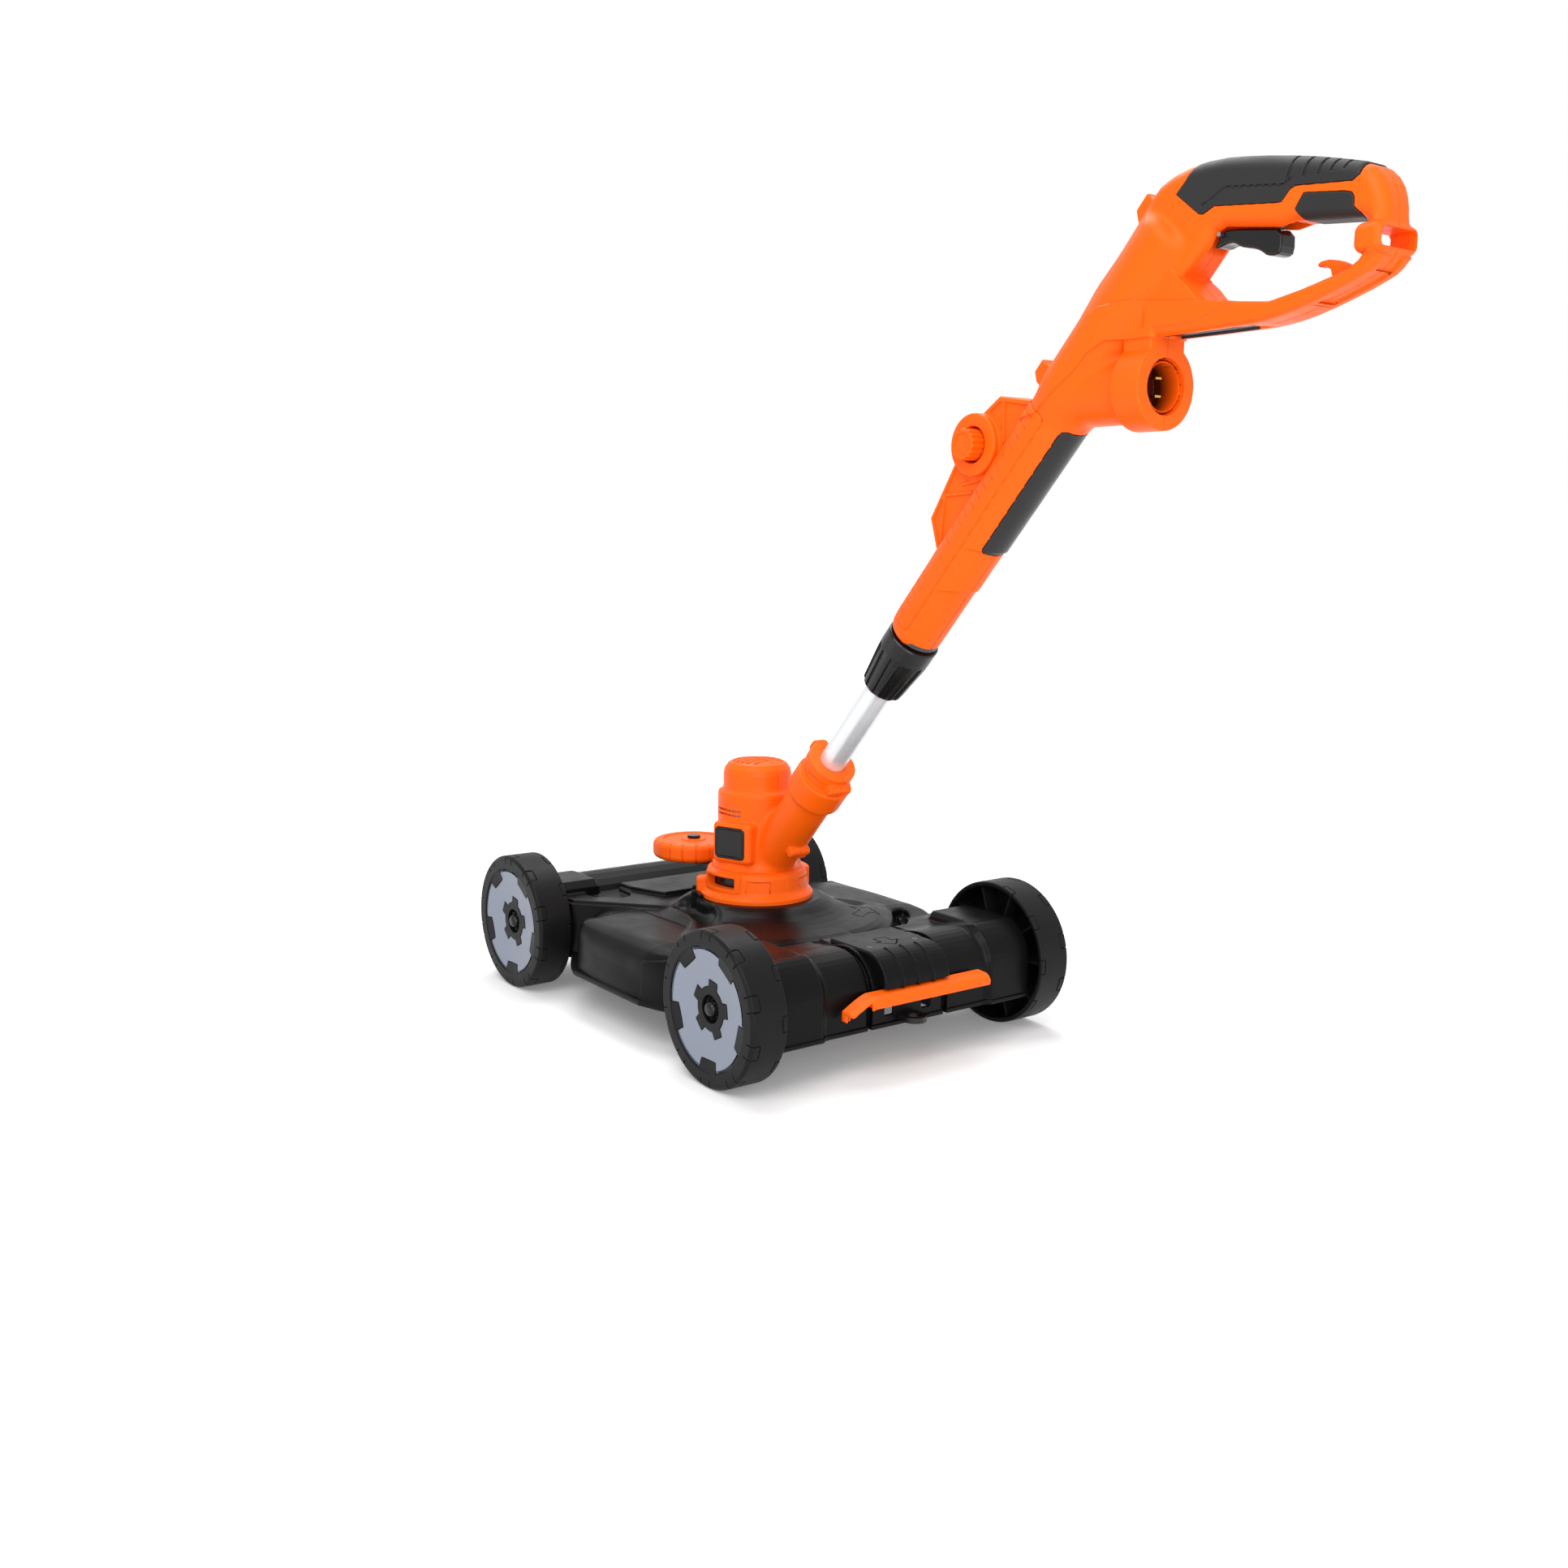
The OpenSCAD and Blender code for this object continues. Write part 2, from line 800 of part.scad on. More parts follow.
module deck_shell() {
    color("#262627")
        difference() {
            union() {
                difference() {
                    union() {
                        deck_mass(0, lip_z);
                        beams(0, beam_bot);
                    }
                    deck_mass(deck_wall, lip_z - over);
                    beams(deck_wall, beam_bot - over);
                }
                axle_bosses();
                dock_fence();
                latch_rails();
                pedal_lugs();
            }
            translate([0, 0, shoulder_z])
                cylinder(r = dock_hole_r, h = dock_z);
            for (end = [-1, 1])
                rod_at(end * half_base, wheel_r, axle_r + fit, -far / 2, far / 2);
            rod_at(pivot_y, pivot_z, pin_r + fit, -lug_in - lug_t - over, lug_in + lug_t + over);
            for (side = [-1, 1])
                translate([side * arm_x - arm_w / 2 - gap, beam_out - deck_wall - over,
                    pivot_z - arm_slot_down])
                    cube([arm_w + 2 * gap, deck_wall + 2 * over, arm_slot_up + arm_slot_down]);
            for (side = [-1, 1])
                translate([side * screw_x, screw_y, beam_top - screw_l])
                    cylinder(r = screw_r + fit, h = screw_l + over);
            translate([-bar_w / 2 - gap, dome_in, bar_z - gap])
                cube([bar_w + 2 * gap, rail_l + beam_lead, bar_t + 2 * gap]);
        }
}
module cover_outline() {
    polygon(concat([[cover_in, beam_top], [beam_out, cover_low], [cover_out, cover_low]],
        arc([cover_out - cover_round, beam_top + cover_t - cover_round], cover_round, 0, 90),
        [[cover_in, beam_top + cover_t]]));
}
module cover_hollow() {
    polygon(concat([[beam_in, beam_top], [beam_in, cover_low - over],
        [cover_out - cover_skin, cover_low - over]],
        arc([cover_out - cover_round, beam_top + cover_t - cover_round], cover_round - cover_skin,
            0, shoulder_turn),
        [[cover_out - cover_round, beam_top]]));
}
module latch_cover() {
    color("#262627")
        difference() {
            union() {
                across(2 * cover_half)
                    difference() {
                        cover_outline();
                        cover_hollow();
                    }
                for (side = [-1, 1])
                    translate([side * (cover_half - cover_skin / 2), 0, 0])
                        across(cover_skin)
                            cover_outline();
                for (i = [0 : cover_ribs - 1])
                    translate([(i - (cover_ribs - 1) / 2) * cover_rib_gap, 0, 0])
                        across(cover_rib_w)
                            difference() {
                                translate([0, cover_rib_h])
                                    cover_outline();
                                cover_outline();
                                translate([0, cover_low - far])
                                    square(far);
                                cover_hollow();
                            }
            }
            across(far)
                polygon(beam_section(0, beam_bot, beam_top, beam_out));
            for (side = [-1, 1])
                translate([side * screw_x, screw_y, 0]) {
                    cylinder(r = screw_r + fit, h = far);
                    translate([0, 0, beam_top + cover_t - screw_head_h / 2])
                        cylinder(r = screw_head_r + fit, h = far);
                }
        }
}
module cover_screws() {
    color("#1d1d1e")
        for (side = [-1, 1])
            translate([side * screw_x, screw_y, beam_top + cover_t - screw_head_h / 2]) {
                cylinder(r = screw_head_r, h = screw_head_h / 2);
                translate([0, 0, -screw_l])
                    cylinder(r = screw_r, h = screw_l + screw_head_h / 2);
            }
}
module rear_eye() {
    color("#1d1d1e")
        difference() {
            union() {
                translate([-eye_w / 2, beam_out, eye_z])
                    cube([eye_w, eye_l - eye_w / 2, eye_t]);
                translate([0, beam_out + eye_l - eye_w / 2, eye_z])
                    cylinder(r = eye_w / 2, h = eye_t);
                translate([-eye_w / 2, beam_out, beam_bot])
                    cube([eye_w, eye_t / 2, eye_z - beam_bot + eye_t + eye_edge]);
            }
            translate([0, beam_out + eye_l - eye_w / 2, eye_z - over])
                cylinder(r = eye_hole_r, h = eye_t + 2 * over);
        }
}
module pedal_pin() {
    color("#b9bcc0")
        rod_at(pivot_y, pivot_z, pin_r, -lug_in - lug_t, lug_in + lug_t);
}
module pedal_spring() {
    color("#8f9296")
        translate([spring_x, pivot_y, pivot_z])
            rotate([0, 90, 0])
                ring(knuckle_r + gap + spring_t, knuckle_r + gap, spring_w);
}
module pedal_bar_section() {
    translate([pedal_in, pivot_z])
        square([pedal_d, pedal_h]);
}
module pedal() {
    color("#f26a1b")
        difference() {
            union() {
                rod_at(pivot_y, pivot_z, knuckle_r, -arm_x - arm_w / 2, arm_x + arm_w / 2);
                for (side = [-1, 1])
                    translate([side * arm_x - arm_w / 2, pivot_y, pivot_z - arm_h / 2])
                        cube([arm_w, pedal_in - pivot_y + pedal_d / 2, arm_h]);
                across(2 * (pedal_half - pedal_bend))
                    pedal_bar_section();
                for (side = [-1, 1])
                    translate([side * (pedal_half - pedal_bend), 0, 0])
                        hull() {
                            across(over)
                                pedal_bar_section();
                            translate([side * pedal_bend, 0, 0])
                                across(over)
                                    translate([0, -pedal_drop])
                                        pedal_bar_section();
                        }
                translate([-tail_w / 2, pivot_y - tail_t / 2, pivot_z])
                    cube([tail_w, tail_t, tail_h]);
            }
            rod_at(pivot_y, pivot_z, pin_r + fit, -far / 2, far / 2);
        }
}
module latch_bar() {
    color("#3a3a3c")
        translate([-bar_w / 2, spigot_r + 2 * gap, bar_z])
            difference() {
                cube([bar_w, pivot_y + tail_t / 2 + slot_play + bar_end - spigot_r - 2 * gap, bar_t]);
                translate([bar_w / 2 - tail_w / 2 - gap,
                    pivot_y - tail_t / 2 - slot_play - spigot_r - 2 * gap, -over])
                    cube([tail_w + 2 * gap, tail_t + 2 * slot_play, bar_t + 2 * over]);
            }
}

// Trimmer head
module docking_base() {
    color("#f26a1b")
        difference() {
            union() {
                rotate_extrude()
                    polygon(concat([[0, spigot_z], [spigot_r, spigot_z], [spigot_r, base_z], [rim_r, base_z],
                        [rim_r, base_z + rim_h], [base_r, base_z + rim_h + rim_r - base_r]],
                        arc([base_r - base_round, base_top - base_round], base_round, 0, 90),
                        [[0, base_top]]));
                for (side = [0, 1])
                    mirror([side, 0, 0])
                        rotate(face_turn)
                            translate([0, -frame_w / 2, frame_z])
                                cube([frame_out, frame_w, frame_h]);
            }
            translate([0, 0, spigot_z - over])
                cylinder(r = spigot_r - spigot_wall, h = floor_z - spigot_z + over);
            translate([0, 0, floor_z + floor_t])
                cylinder(r = base_r - base_round - base_wall / 2, h = base_h);
            translate([0, 0, floor_z - over])
                cylinder(r = spindle_r + spindle_room, h = floor_t + 2 * over);
            translate([0, 0, floor_z + floor_t - bearing_w])
                cylinder(r = bearing_r + fit, h = bearing_w + over);
            for (side = [0, 1])
                mirror([side, 0, 0])
                    rotate(face_turn)
                        translate([barrel_r, -window_w / 2, window_z])
                            cube([frame_out, window_w, window_h]);
            translate([-bar_w / 2 - gap, spigot_r - latch_pocket_d, bar_z - gap])
                cube([bar_w + 2 * gap, latch_pocket_d + over, bar_t + 2 * gap]);
        }
}
// Outside of the motor housing, without its neck
module barrel_solid() {
    rotate_extrude()
        polygon(concat([[0, base_top], [base_r - base_round, base_top], [waist_r, base_top + waist_h / 2],
            [barrel_r, base_top + waist_h], [barrel_r, base_top + step_at],
            [dome_r, base_top + step_at + step_h]],
            arc([dome_r - dome_round, base_top + housing_h - dome_round], dome_round, 0, 90),
            [[0, base_top + housing_h]]));
}
module barrel_hollow() {
    difference() {
        rotate_extrude()
            polygon(concat([[0, base_top - over], [barrel_r - housing_wall, base_top - over],
                [barrel_r - housing_wall, base_top + step_at - housing_wall],
                [dome_r - housing_wall, base_top + step_at + step_h]],
                arc([dome_r - dome_round, base_top + housing_h - dome_round], dome_round - housing_wall,
                    0, 90),
                [[0, base_top + housing_h - housing_wall]]));
        translate([0, 0, seat_z])
            cylinder(r = seat_r, h = housing_h);
    }
}
module neck_solid() {
    on_shaft(neck_from)
        cylinder(r = neck_r, h = neck_to - neck_from);
    on_shaft(cup_from)
        cylinder(r = neck_cup_r, h = cup_to - cup_from);
    on_shaft(cup_to)
        cylinder(r = flange_r, h = flange_t);
}
// Places a casing boss from its distances along and under the shaft
module at_boss(s, n) {
    on_shaft(s)
        translate([0, n, 0])
            rotate([0, 90, 0])
                children();
}
module case_bosses(r, from, to) {
    at_boss(boss_a_s, boss_a_n)
        translate([0, 0, from])
            cylinder(r = r, h = to - from);
    at_boss(boss_b_s, boss_b_n)
        translate([0, 0, from])
            cylinder(r = r, h = to - from);
}
module housing_pads(out, w, h) {
    for (side = [0, 1])
        mirror([side, 0, 0])
            rotate(face_turn)
                translate([0, -w / 2, base_top + pad_at + (pad_h - h) / 2])
                    cube([out, w, h]);
}
module motor_housing(side) {
    color("#f26a1b")
        half(side)
            difference() {
                union() {
                    barrel_solid();
                    intersection() {
                        neck_solid();
                        translate([-far / 2, -far / 2, base_top])
                            cube(far);
                    }
                    housing_pads(pad_out, pad_w, pad_h);
                    case_bosses(case_boss_r, -case_boss_half, case_boss_half);
                }
                barrel_hollow();
                translate([0, 0, seat_z - over])
                    cylinder(r = bearing_r + fit, h = bearing_w + over);
                translate([0, 0, seat_z])
                    cylinder(r = spindle_r + spindle_room, h = bearing_w + spindle_over);
                on_shaft(tube_from)
                    cylinder(r = tube_r + fit, h = cup_to + flange_t);
                on_shaft(0)
                    cylinder(r = lead_r, h = tube_from + over);
                case_bosses(screw_r + fit, -case_boss_half - over, case_boss_half - screw_head_h);
                case_bosses(screw_head_r + fit, -case_boss_half - over, screw_head_h - case_boss_half);
                difference() {
                    housing_pads(pad_out + over, badge_w, badge_h);
                    housing_pads(pad_out - badge_t, pad_w, pad_h);
                }
            }
}
module badge_plates() {
    color("#1d1d1e")
        difference() {
            housing_pads(pad_out, badge_w - 2 * fit, badge_h - 2 * fit);
            housing_pads(pad_out - badge_t, pad_w, pad_h);
        }
}
module housing_screws() {
    color("#8f9296") {
        case_bosses(screw_r, -case_boss_half, case_boss_half - 2 * screw_head_h);
        case_bosses(screw_head_r, -case_boss_half, screw_head_h - case_boss_half);
    }
}
module motor_can() {
    color("#8f9296")
        translate([0, 0, can_from])
            ring(barrel_r - housing_wall - fit, can_bore, can_to - can_from);
}
module bearing(z) {
    color("#b9bcc0")
        translate([0, 0, z])
            ring(bearing_r, spindle_r, bearing_w);
}
module rotor() {
    color("#a8672f") {
        translate([0, 0, head_from + head_wall])
            cylinder(r = spindle_r - fit, h = seat_z + bearing_w - head_from - head_wall);
        translate([0, 0, core_from])
            cylinder(r = can_bore - arm_gap, h = core_to - core_from);
        translate([0, 0, core_to])
            cylinder(r = commutator_r, h = commutator_h);
    }
}
module cooling_fan() {
    color("#3a3a3c")
        translate([0, 0, fan_z])
            difference() {
                union() {
                    cylinder(r = fan_r, h = fan_t);
                    cylinder(r = fan_hub_r, h = fan_h);
                    for (i = [0 : blades - 1])
                        rotate(i * 360 / blades)
                            translate([fan_hub_r - fan_t, -fan_t / 2, fan_t / 2])
                                cube([fan_r - fan_hub_r, fan_t, fan_h - fan_t]);
                }
                translate([0, 0, -over])
                    cylinder(r = spindle_r, h = fan_h + 2 * over);
            }
}

// String head
module spool_housing() {
    color("#2b2b2c")
        difference() {
            translate([0, 0, head_from])
                cylinder(r = spool_r, h = head_to - head_from);
            difference() {
                translate([0, 0, head_from - over])
                    cylinder(r = spool_r - head_wall, h = head_to - head_top - head_from + over);
                translate([0, 0, reel_from + reel_h + gap])
                    cylinder(r = head_hub_r, h = head_to);
            }
            translate([0, 0, head_from - over])
                cylinder(r = spindle_r, h = head_to);
            rotate(line_turn)
                translate([0, 0, exit_z])
                    rotate([0, 90, 0])
                        cylinder(r = exit_r, h = far);
        }
}
module line_spool() {
    color("#d8d8d4")
        translate([0, 0, reel_from])
            difference() {
                union() {
                    cylinder(r = reel_core, h = reel_h);
                    cylinder(r = reel_r, h = reel_flange);
                    translate([0, 0, reel_h - reel_flange])
                        cylinder(r = reel_r, h = reel_flange);
                }
                translate([0, 0, -over])
                    cylinder(r = reel_bore, h = reel_h + 2 * over);
            }
}
module line_winding() {
    color("#f2a13a")
        translate([0, 0, reel_from + reel_flange])
            ring(wind_r, reel_core, reel_h - 2 * reel_flange);
}
module spool_cap() {
    color("#2b2b2c")
        translate([0, 0, cap_from])
            difference() {
                rotate_extrude()
                    polygon(concat([[0, 0]], arc([spool_r - cap_round, cap_round], cap_round, -90, 0),
                        [[spool_r, head_from - cap_from], [0, head_from - cap_from]]));
                for (side = [-1, 1])
                    translate([side * spool_r - tab_w / 2, -tab_w / 2, -over])
                        cube([tab_w, tab_w, tab_d + over]);
            }
}
module cutting_line() {
    color("#f2a13a")
        rotate(line_turn)
            translate([wind_r, 0, exit_z])
                rotate([0, 90, 0])
                    cylinder(r = line_r, h = cut_r - wind_r);
}

// Edge guide
module guide_bracket() {
    color("#2b2b2c")
        difference() {
            union() {
                translate([-bracket_w / 2, guide_y, bracket_z])
                    cube([bracket_w, -guide_y - base_r / 2, bracket_t]);
                translate([0, guide_y, bracket_z])
                    cylinder(r = bracket_w / 2, h = bracket_t);
                translate([-bracket_foot_w / 2, -base_r - bracket_foot_d, bracket_z])
                    cube([bracket_foot_w, base_r, bracket_foot]);
                translate([0, guide_y, bracket_z])
                    cylinder(r = post_r, h = guide_z + guide_h - bracket_z);
            }
            cylinder(r = base_r + fit, h = far);
            translate([0, guide_y, guide_z])
                cylinder(r = screw_r, h = far);
        }
}
module guide_wheel() {
    color("#f26a1b")
        translate([0, guide_y, guide_z])
            difference() {
                rotate_extrude()
                    polygon(concat([[post_r + fit, 0], [guide_r - guide_rim, 0]],
                        arc([guide_r - guide_rim, guide_rim], guide_rim, -90, 0),
                        arc([guide_r - guide_rim, guide_h - guide_face - guide_rim], guide_rim, 0, 90),
                        [[guide_boss_r, guide_h - guide_face], [guide_boss_r, guide_h - gap],
                        [post_r + fit, guide_h - gap]]));
                for (i = [0 : guide_notches - 1])
                    rotate(i * 360 / guide_notches)
                        translate([guide_r + guide_notch_r / 2, 0, -over])
                            cylinder(r = guide_notch_r, h = guide_h + 2 * over);
            }
}
module guide_screw() {
    color("#1d1d1e")
        translate([0, guide_y, guide_z + guide_h]) {
            cylinder(r = guide_head_r, h = guide_head_h);
            translate([0, 0, -guide_h / 2])
                cylinder(r = screw_r, h = guide_h / 2);
        }
}
module shaft_tube() {
    color("#d4d6da")
        on_shaft(tube_from)
            difference() {
                ring(tube_r, tube_r - tube_wall, tube_l);
                for (side = [-1, 1])
                    rotate(side * key_turn)
                        translate([-key_w / 2, -tube_r - over, -over])
                            cube([key_w, over + key_d, tube_l + 2 * over]);
            }
}

// Handle
module sleeve_solid(r, from, to) {
    on_shaft(from)
        cylinder(r = r, h = to - from);
}
module inlet_cup(r, from) {
    translate([0, from, cup_z])
        rotate([-90, 0, 0])
            cylinder(r = r, h = cup_y - from);
}
module grip_slab(shares, w) {
    across(w)
        polygon(grip_points(shares));
}
module grip_core() {
    translate([0, 0, -skin])
        grip_slab(grip_shares, grip_w - 2 * skin);
}
module handle_solid() {
    sleeve_solid(sleeve_r, sleeve_s, sleeve_end);
    on_shaft(sleeve_end)
        sphere(sleeve_r);
    inlet_cup(cup_r, cup_y - cup_l);
    difference() {
        grip_slab(loop_shares, grip_w);
        grip_slab(opening_shares, grip_w + 2 * over);
    }
    grip_slab(lug_shares, lug_w);
    translate([-loop_w / 2, loop_y, loop_z])
        cube([loop_w, loop_d, loop_h]);
    grip_slab(hook_shares, hook_t);
}
module handle_half(side) {
    color("#f26a1b")
        half(side)
            difference() {
                union() {
                    difference() {
                        handle_solid();
                        grip_slab(grip_shares, far);
                    }
                    intersection() {
                        handle_solid();
                        grip_core();
                    }
                }
                grip_slab(pad_shares, grip_w + 2 * over);
                sleeve_solid(sleeve_r - sleeve_wall, sleeve_s + sleeve_lip, sleeve_end - bore_stop);
                on_shaft(sleeve_s - over)
                    cylinder(r = nose_r + fit, h = sleeve_lip + 2 * over);
                translate([0, cup_y - insert_d, cup_z])
                    rotate([-90, 0, 0])
                        cylinder(r = insert_r + fit, h = insert_d + over);
                translate([-loop_w / 2 + loop_wall, loop_y - over, loop_z + loop_wall])
                    cube([loop_w - 2 * loop_wall, loop_d + 2 * over, loop_h - 2 * loop_wall]);
                translate([-trigger_w / 2 - trigger_play, slot_from, slot_low])
                    cube([trigger_w + 2 * trigger_play, slot_to - slot_from, slot_top - slot_low]);
                translate([-switch_w / 2, switch_y, slot_top - over])
                    cube([switch_w, switch_l, switch_h + over]);
                rod_at(pin_y, pin_z, trigger_pin_r + fit, -trigger_pin_half, trigger_pin_half);
                for (p = screw_shares)
                    rod_at(grip_point(p)[0], grip_point(p)[1], screw_r + fit, -handle_screw_half,
                        handle_screw_half);
                for (p = screw_shares)
                    rod_at(grip_point(p)[0], grip_point(p)[1], screw_head_r + fit, -far, -handle_screw_half);
            }
}
module top_grip() {
    color("#2b2b2c")
        difference() {
            intersection() {
                grip_slab(grip_shares, grip_w);
                grip_slab(loop_shares, grip_w);
            }
            grip_core();
        }
}
module grip_pad() {
    color("#2b2b2c")
        difference() {
            intersection() {
                grip_slab(pad_shares, grip_w);
                grip_slab(loop_shares, grip_w);
            }
            grip_slab(opening_shares, far);
        }
}
module handle_screws() {
    color("#8f9296")
        for (p = screw_shares) {
            rod_at(grip_point(p)[0], grip_point(p)[1], screw_r, -handle_screw_half - over, handle_screw_half);
            rod_at(grip_point(p)[0], grip_point(p)[1], screw_head_r, -handle_screw_half - screw_head_h,
                -handle_screw_half);
        }
}
module switch_block() {
    color("#1d1d1e")
        translate([-switch_w / 2 + fit, switch_y + fit, slot_top])
            cube([switch_w - 2 * fit, switch_l - 2 * fit, switch_h - fit]);
}
module inlet_insert() {
    color("#1d1d1e")
        difference() {
            translate([0, cup_y - insert_d, cup_z])
                rotate([-90, 0, 0])
                    cylinder(r = insert_r, h = insert_d - over);
            translate([0, cup_y - socket_d, cup_z])
                rotate([-90, 0, 0])
                    cylinder(r = socket_r, h = socket_d + over);
        }
}
module inlet_blades() {
    color("#c9a24a")
        for (side = [-1, 1])
            translate([-blade_w / 2, cup_y - socket_d, cup_z + side * blade_gap / 2 - blade_t / 2])
                cube([blade_w, blade_l, blade_t]);
}
module collet() {
    color("#3a3a3c")
        on_shaft(sleeve_s - nose_l)
            difference() {
                union() {
                    cylinder(r = nose_r, h = nose_l + sleeve_lip);
                    translate([0, 0, nose_l + sleeve_lip])
                        cylinder(r = sleeve_r - sleeve_wall - fit, h = collet_l);
                }
                translate([0, 0, -over])
                    cylinder(r = tube_r + fit, h = nose_l + sleeve_lip + collet_l + 2 * over);
                for (turn = [0, 90])
                    rotate(turn)
                        translate([-slit_w / 2, -far / 2, -over])
                            cube([slit_w, far, slit_l + over]);
            }
}
module twist_collar() {
    color("#1d1d1e")
        on_shaft(sleeve_s - gap - collar_l)
            difference() {
                rotate_extrude()
                    polygon([[tube_r + gap, 0], [collar_r, 0], [collar_r + collar_edge, collar_edge],
                        [collar_top_r, collar_taper], [collar_top_r, collar_l],
                        [nose_r + gap, collar_l], [nose_r + gap, collar_lip], [tube_r + gap, collar_lip]]);
                for (i = [0 : flutes - 1])
                    rotate(i * 360 / flutes)
                        translate([collar_r + collar_edge + flute_r - flute_d, 0, flute_from])
                            rotate([0, collar_lean, 0])
                                cylinder(r = flute_r, h = flute_l);
            }
}
module trigger() {
    color("#1d1d1e")
        difference() {
            grip_slab(trigger_shares, trigger_w);
            rod_at(pin_y, pin_z, trigger_pin_r + fit, -far / 2, far / 2);
        }
}
module trigger_pin() {
    color("#b9bcc0")
        rod_at(pin_y, pin_z, trigger_pin_r, -trigger_pin_half, trigger_pin_half);
}
module trigger_spring() {
    color("#8f9296")
        translate([0, return_y, grip_point(trigger_shares[3])[1] + skin])
            ring(return_r, return_r / 2, slot_top - grip_point(trigger_shares[3])[1] - skin);
}
module bracket_ring(r, from, to) {
    at_boss(ring_s, -ring_n)
        translate([0, 0, from])
            cylinder(r = r, h = to - from);
}
module handle_bracket() {
    color("#f26a1b")
        difference() {
            union() {
                translate([0, 0, shaft_z])
                    rotate([tilt, 0, 0])
                        across(2 * bracket_half)
                            polygon([for (p = bracket_shares)
                                [bracket_s + p[0] * bracket_l, p[1] * bracket_n]]);
                bracket_ring(ring_r, -ring_in, ring_out);
            }
            on_shaft(sleeve_s)
                cylinder(r = sleeve_r + fit, h = sleeve_l);
            bracket_ring(button_r + button_play, button_floor, ring_out + over);
            bracket_ring(bracket_bore_r, -ring_in - over, bracket_bore_d - ring_in);
        }
}
module bracket_button() {
    color("#f26a1b")
        difference() {
            bracket_ring(button_r, button_from, button_to);
            for (i = [0 : splines - 1])
                at_boss(ring_s, -ring_n)
                    rotate(i * 360 / splines)
                        translate([button_r, 0, button_from - over])
                            cylinder(r = button_spline, h = button_to - button_from);
        }
}
module button_spring() {
    color("#8f9296")
        difference() {
            bracket_ring(button_r / 2, button_floor, button_from);
            bracket_ring(button_r / 2 - spring_t, button_floor - over, button_from + over);
        }
}

deck_shell();
latch_cover();
cover_screws();
axle(-1);  // front_axle
axle(1);  // rear_axle
axle_caps();
rear_eye();
pedal_pin();
pedal_spring();
pedal();
latch_bar();
wheel(1, -1);  // wheel_front_left
wheel(-1, -1);  // wheel_front_right
wheel(1, 1);  // wheel_rear_left
wheel(-1, 1);  // wheel_rear_right
wheel_disc(1, -1);  // disc_front_left
wheel_disc(-1, -1);  // disc_front_right
wheel_disc(1, 1);  // disc_rear_left
wheel_disc(-1, 1);  // disc_rear_right
docking_base();
motor_housing(1);  // motor_housing_left
motor_housing(-1);  // motor_housing_right
badge_plates();
housing_screws();
motor_can();
bearing(seat_z);  // upper_bearing
bearing(floor_z + floor_t - bearing_w);  // lower_bearing
rotor();
cooling_fan();
spool_housing();
line_spool();
line_winding();
spool_cap();
cutting_line();
guide_bracket();
guide_wheel();
guide_screw();
shaft_tube();
handle_half(1);  // handle_left
handle_half(-1);  // handle_right
top_grip();
grip_pad();
handle_screws();
switch_block();
inlet_insert();
inlet_blades();
collet();
twist_collar();
trigger();
trigger_pin();
trigger_spring();
handle_bracket();
bracket_button();
button_spring();
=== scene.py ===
import math
from concurrent.futures import ThreadPoolExecutor
from functools import reduce

import bpy
import numpy as np
from mathutils import Matrix, Vector


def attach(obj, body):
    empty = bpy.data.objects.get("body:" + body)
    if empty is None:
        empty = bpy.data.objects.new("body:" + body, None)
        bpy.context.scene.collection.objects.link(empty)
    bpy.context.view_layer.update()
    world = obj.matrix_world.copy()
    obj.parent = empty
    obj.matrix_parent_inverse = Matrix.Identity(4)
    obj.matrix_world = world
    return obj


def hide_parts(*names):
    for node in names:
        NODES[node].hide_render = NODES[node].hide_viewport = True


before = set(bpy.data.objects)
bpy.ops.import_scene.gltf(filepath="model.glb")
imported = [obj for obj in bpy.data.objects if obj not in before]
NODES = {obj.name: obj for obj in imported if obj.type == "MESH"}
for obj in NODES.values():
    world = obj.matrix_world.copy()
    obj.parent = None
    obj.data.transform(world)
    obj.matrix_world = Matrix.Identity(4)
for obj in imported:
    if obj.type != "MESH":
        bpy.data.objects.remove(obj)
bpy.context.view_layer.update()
MM = 0.001
SCENE = bpy.context.scene
HANDS = (("left", 1.0), ("right", -1.0))

# Distance fields: lengths in millimetres, less than zero inside a shape
FAR = 9.0
ARC_STEPS = 10


def join(*fields):
    """What lies in any of the fields."""
    return reduce(np.minimum, fields)


def share(*fields):
    """What lies in all of the fields."""
    return reduce(np.maximum, fields)


def cut(f, *tools):
    """A field without what all the tools share."""
    return np.maximum(f, -share(*tools))


def fuse(a, b, k):
    """Either of two fields, with a fillet about k wide."""
    h = np.maximum(k - abs(a - b), 0.0) / k
    return np.minimum(a, b) - h * h * (k * 0.25)


def soft_share(a, b, k):
    """What two fields share, with an edge softened over about k."""
    return -fuse(-a, -b, k)


def soft_cut(f, tool, k):
    """A field without a tool, with an edge softened over about k."""
    return soft_share(f, -tool, k)


def rounded(a, b, r):
    """What two fields share, with a rounded edge of radius r."""
    u = np.maximum(a + r, 0.0)
    v = np.maximum(b + r, 0.0)
    return np.minimum(np.maximum(a, b) + r, 0.0) + np.sqrt(u * u + v * v) - r


def slab(u, low, high):
    return abs(u - 0.5 * (low + high)) - 0.5 * (high - low)


def block(places, low, high, r):
    """A box or rectangle between two corners, with rounded edges."""
    sides = [slab(u, a, b) + r for u, a, b in zip(places, low, high)]
    outside = sum(np.maximum(d, 0.0) ** 2 for d in sides)
    return np.minimum(share(*sides), 0.0) + np.sqrt(outside) - r


def box(x, y, z, low, high, r):
    return block((x, y, z), low, high, r)


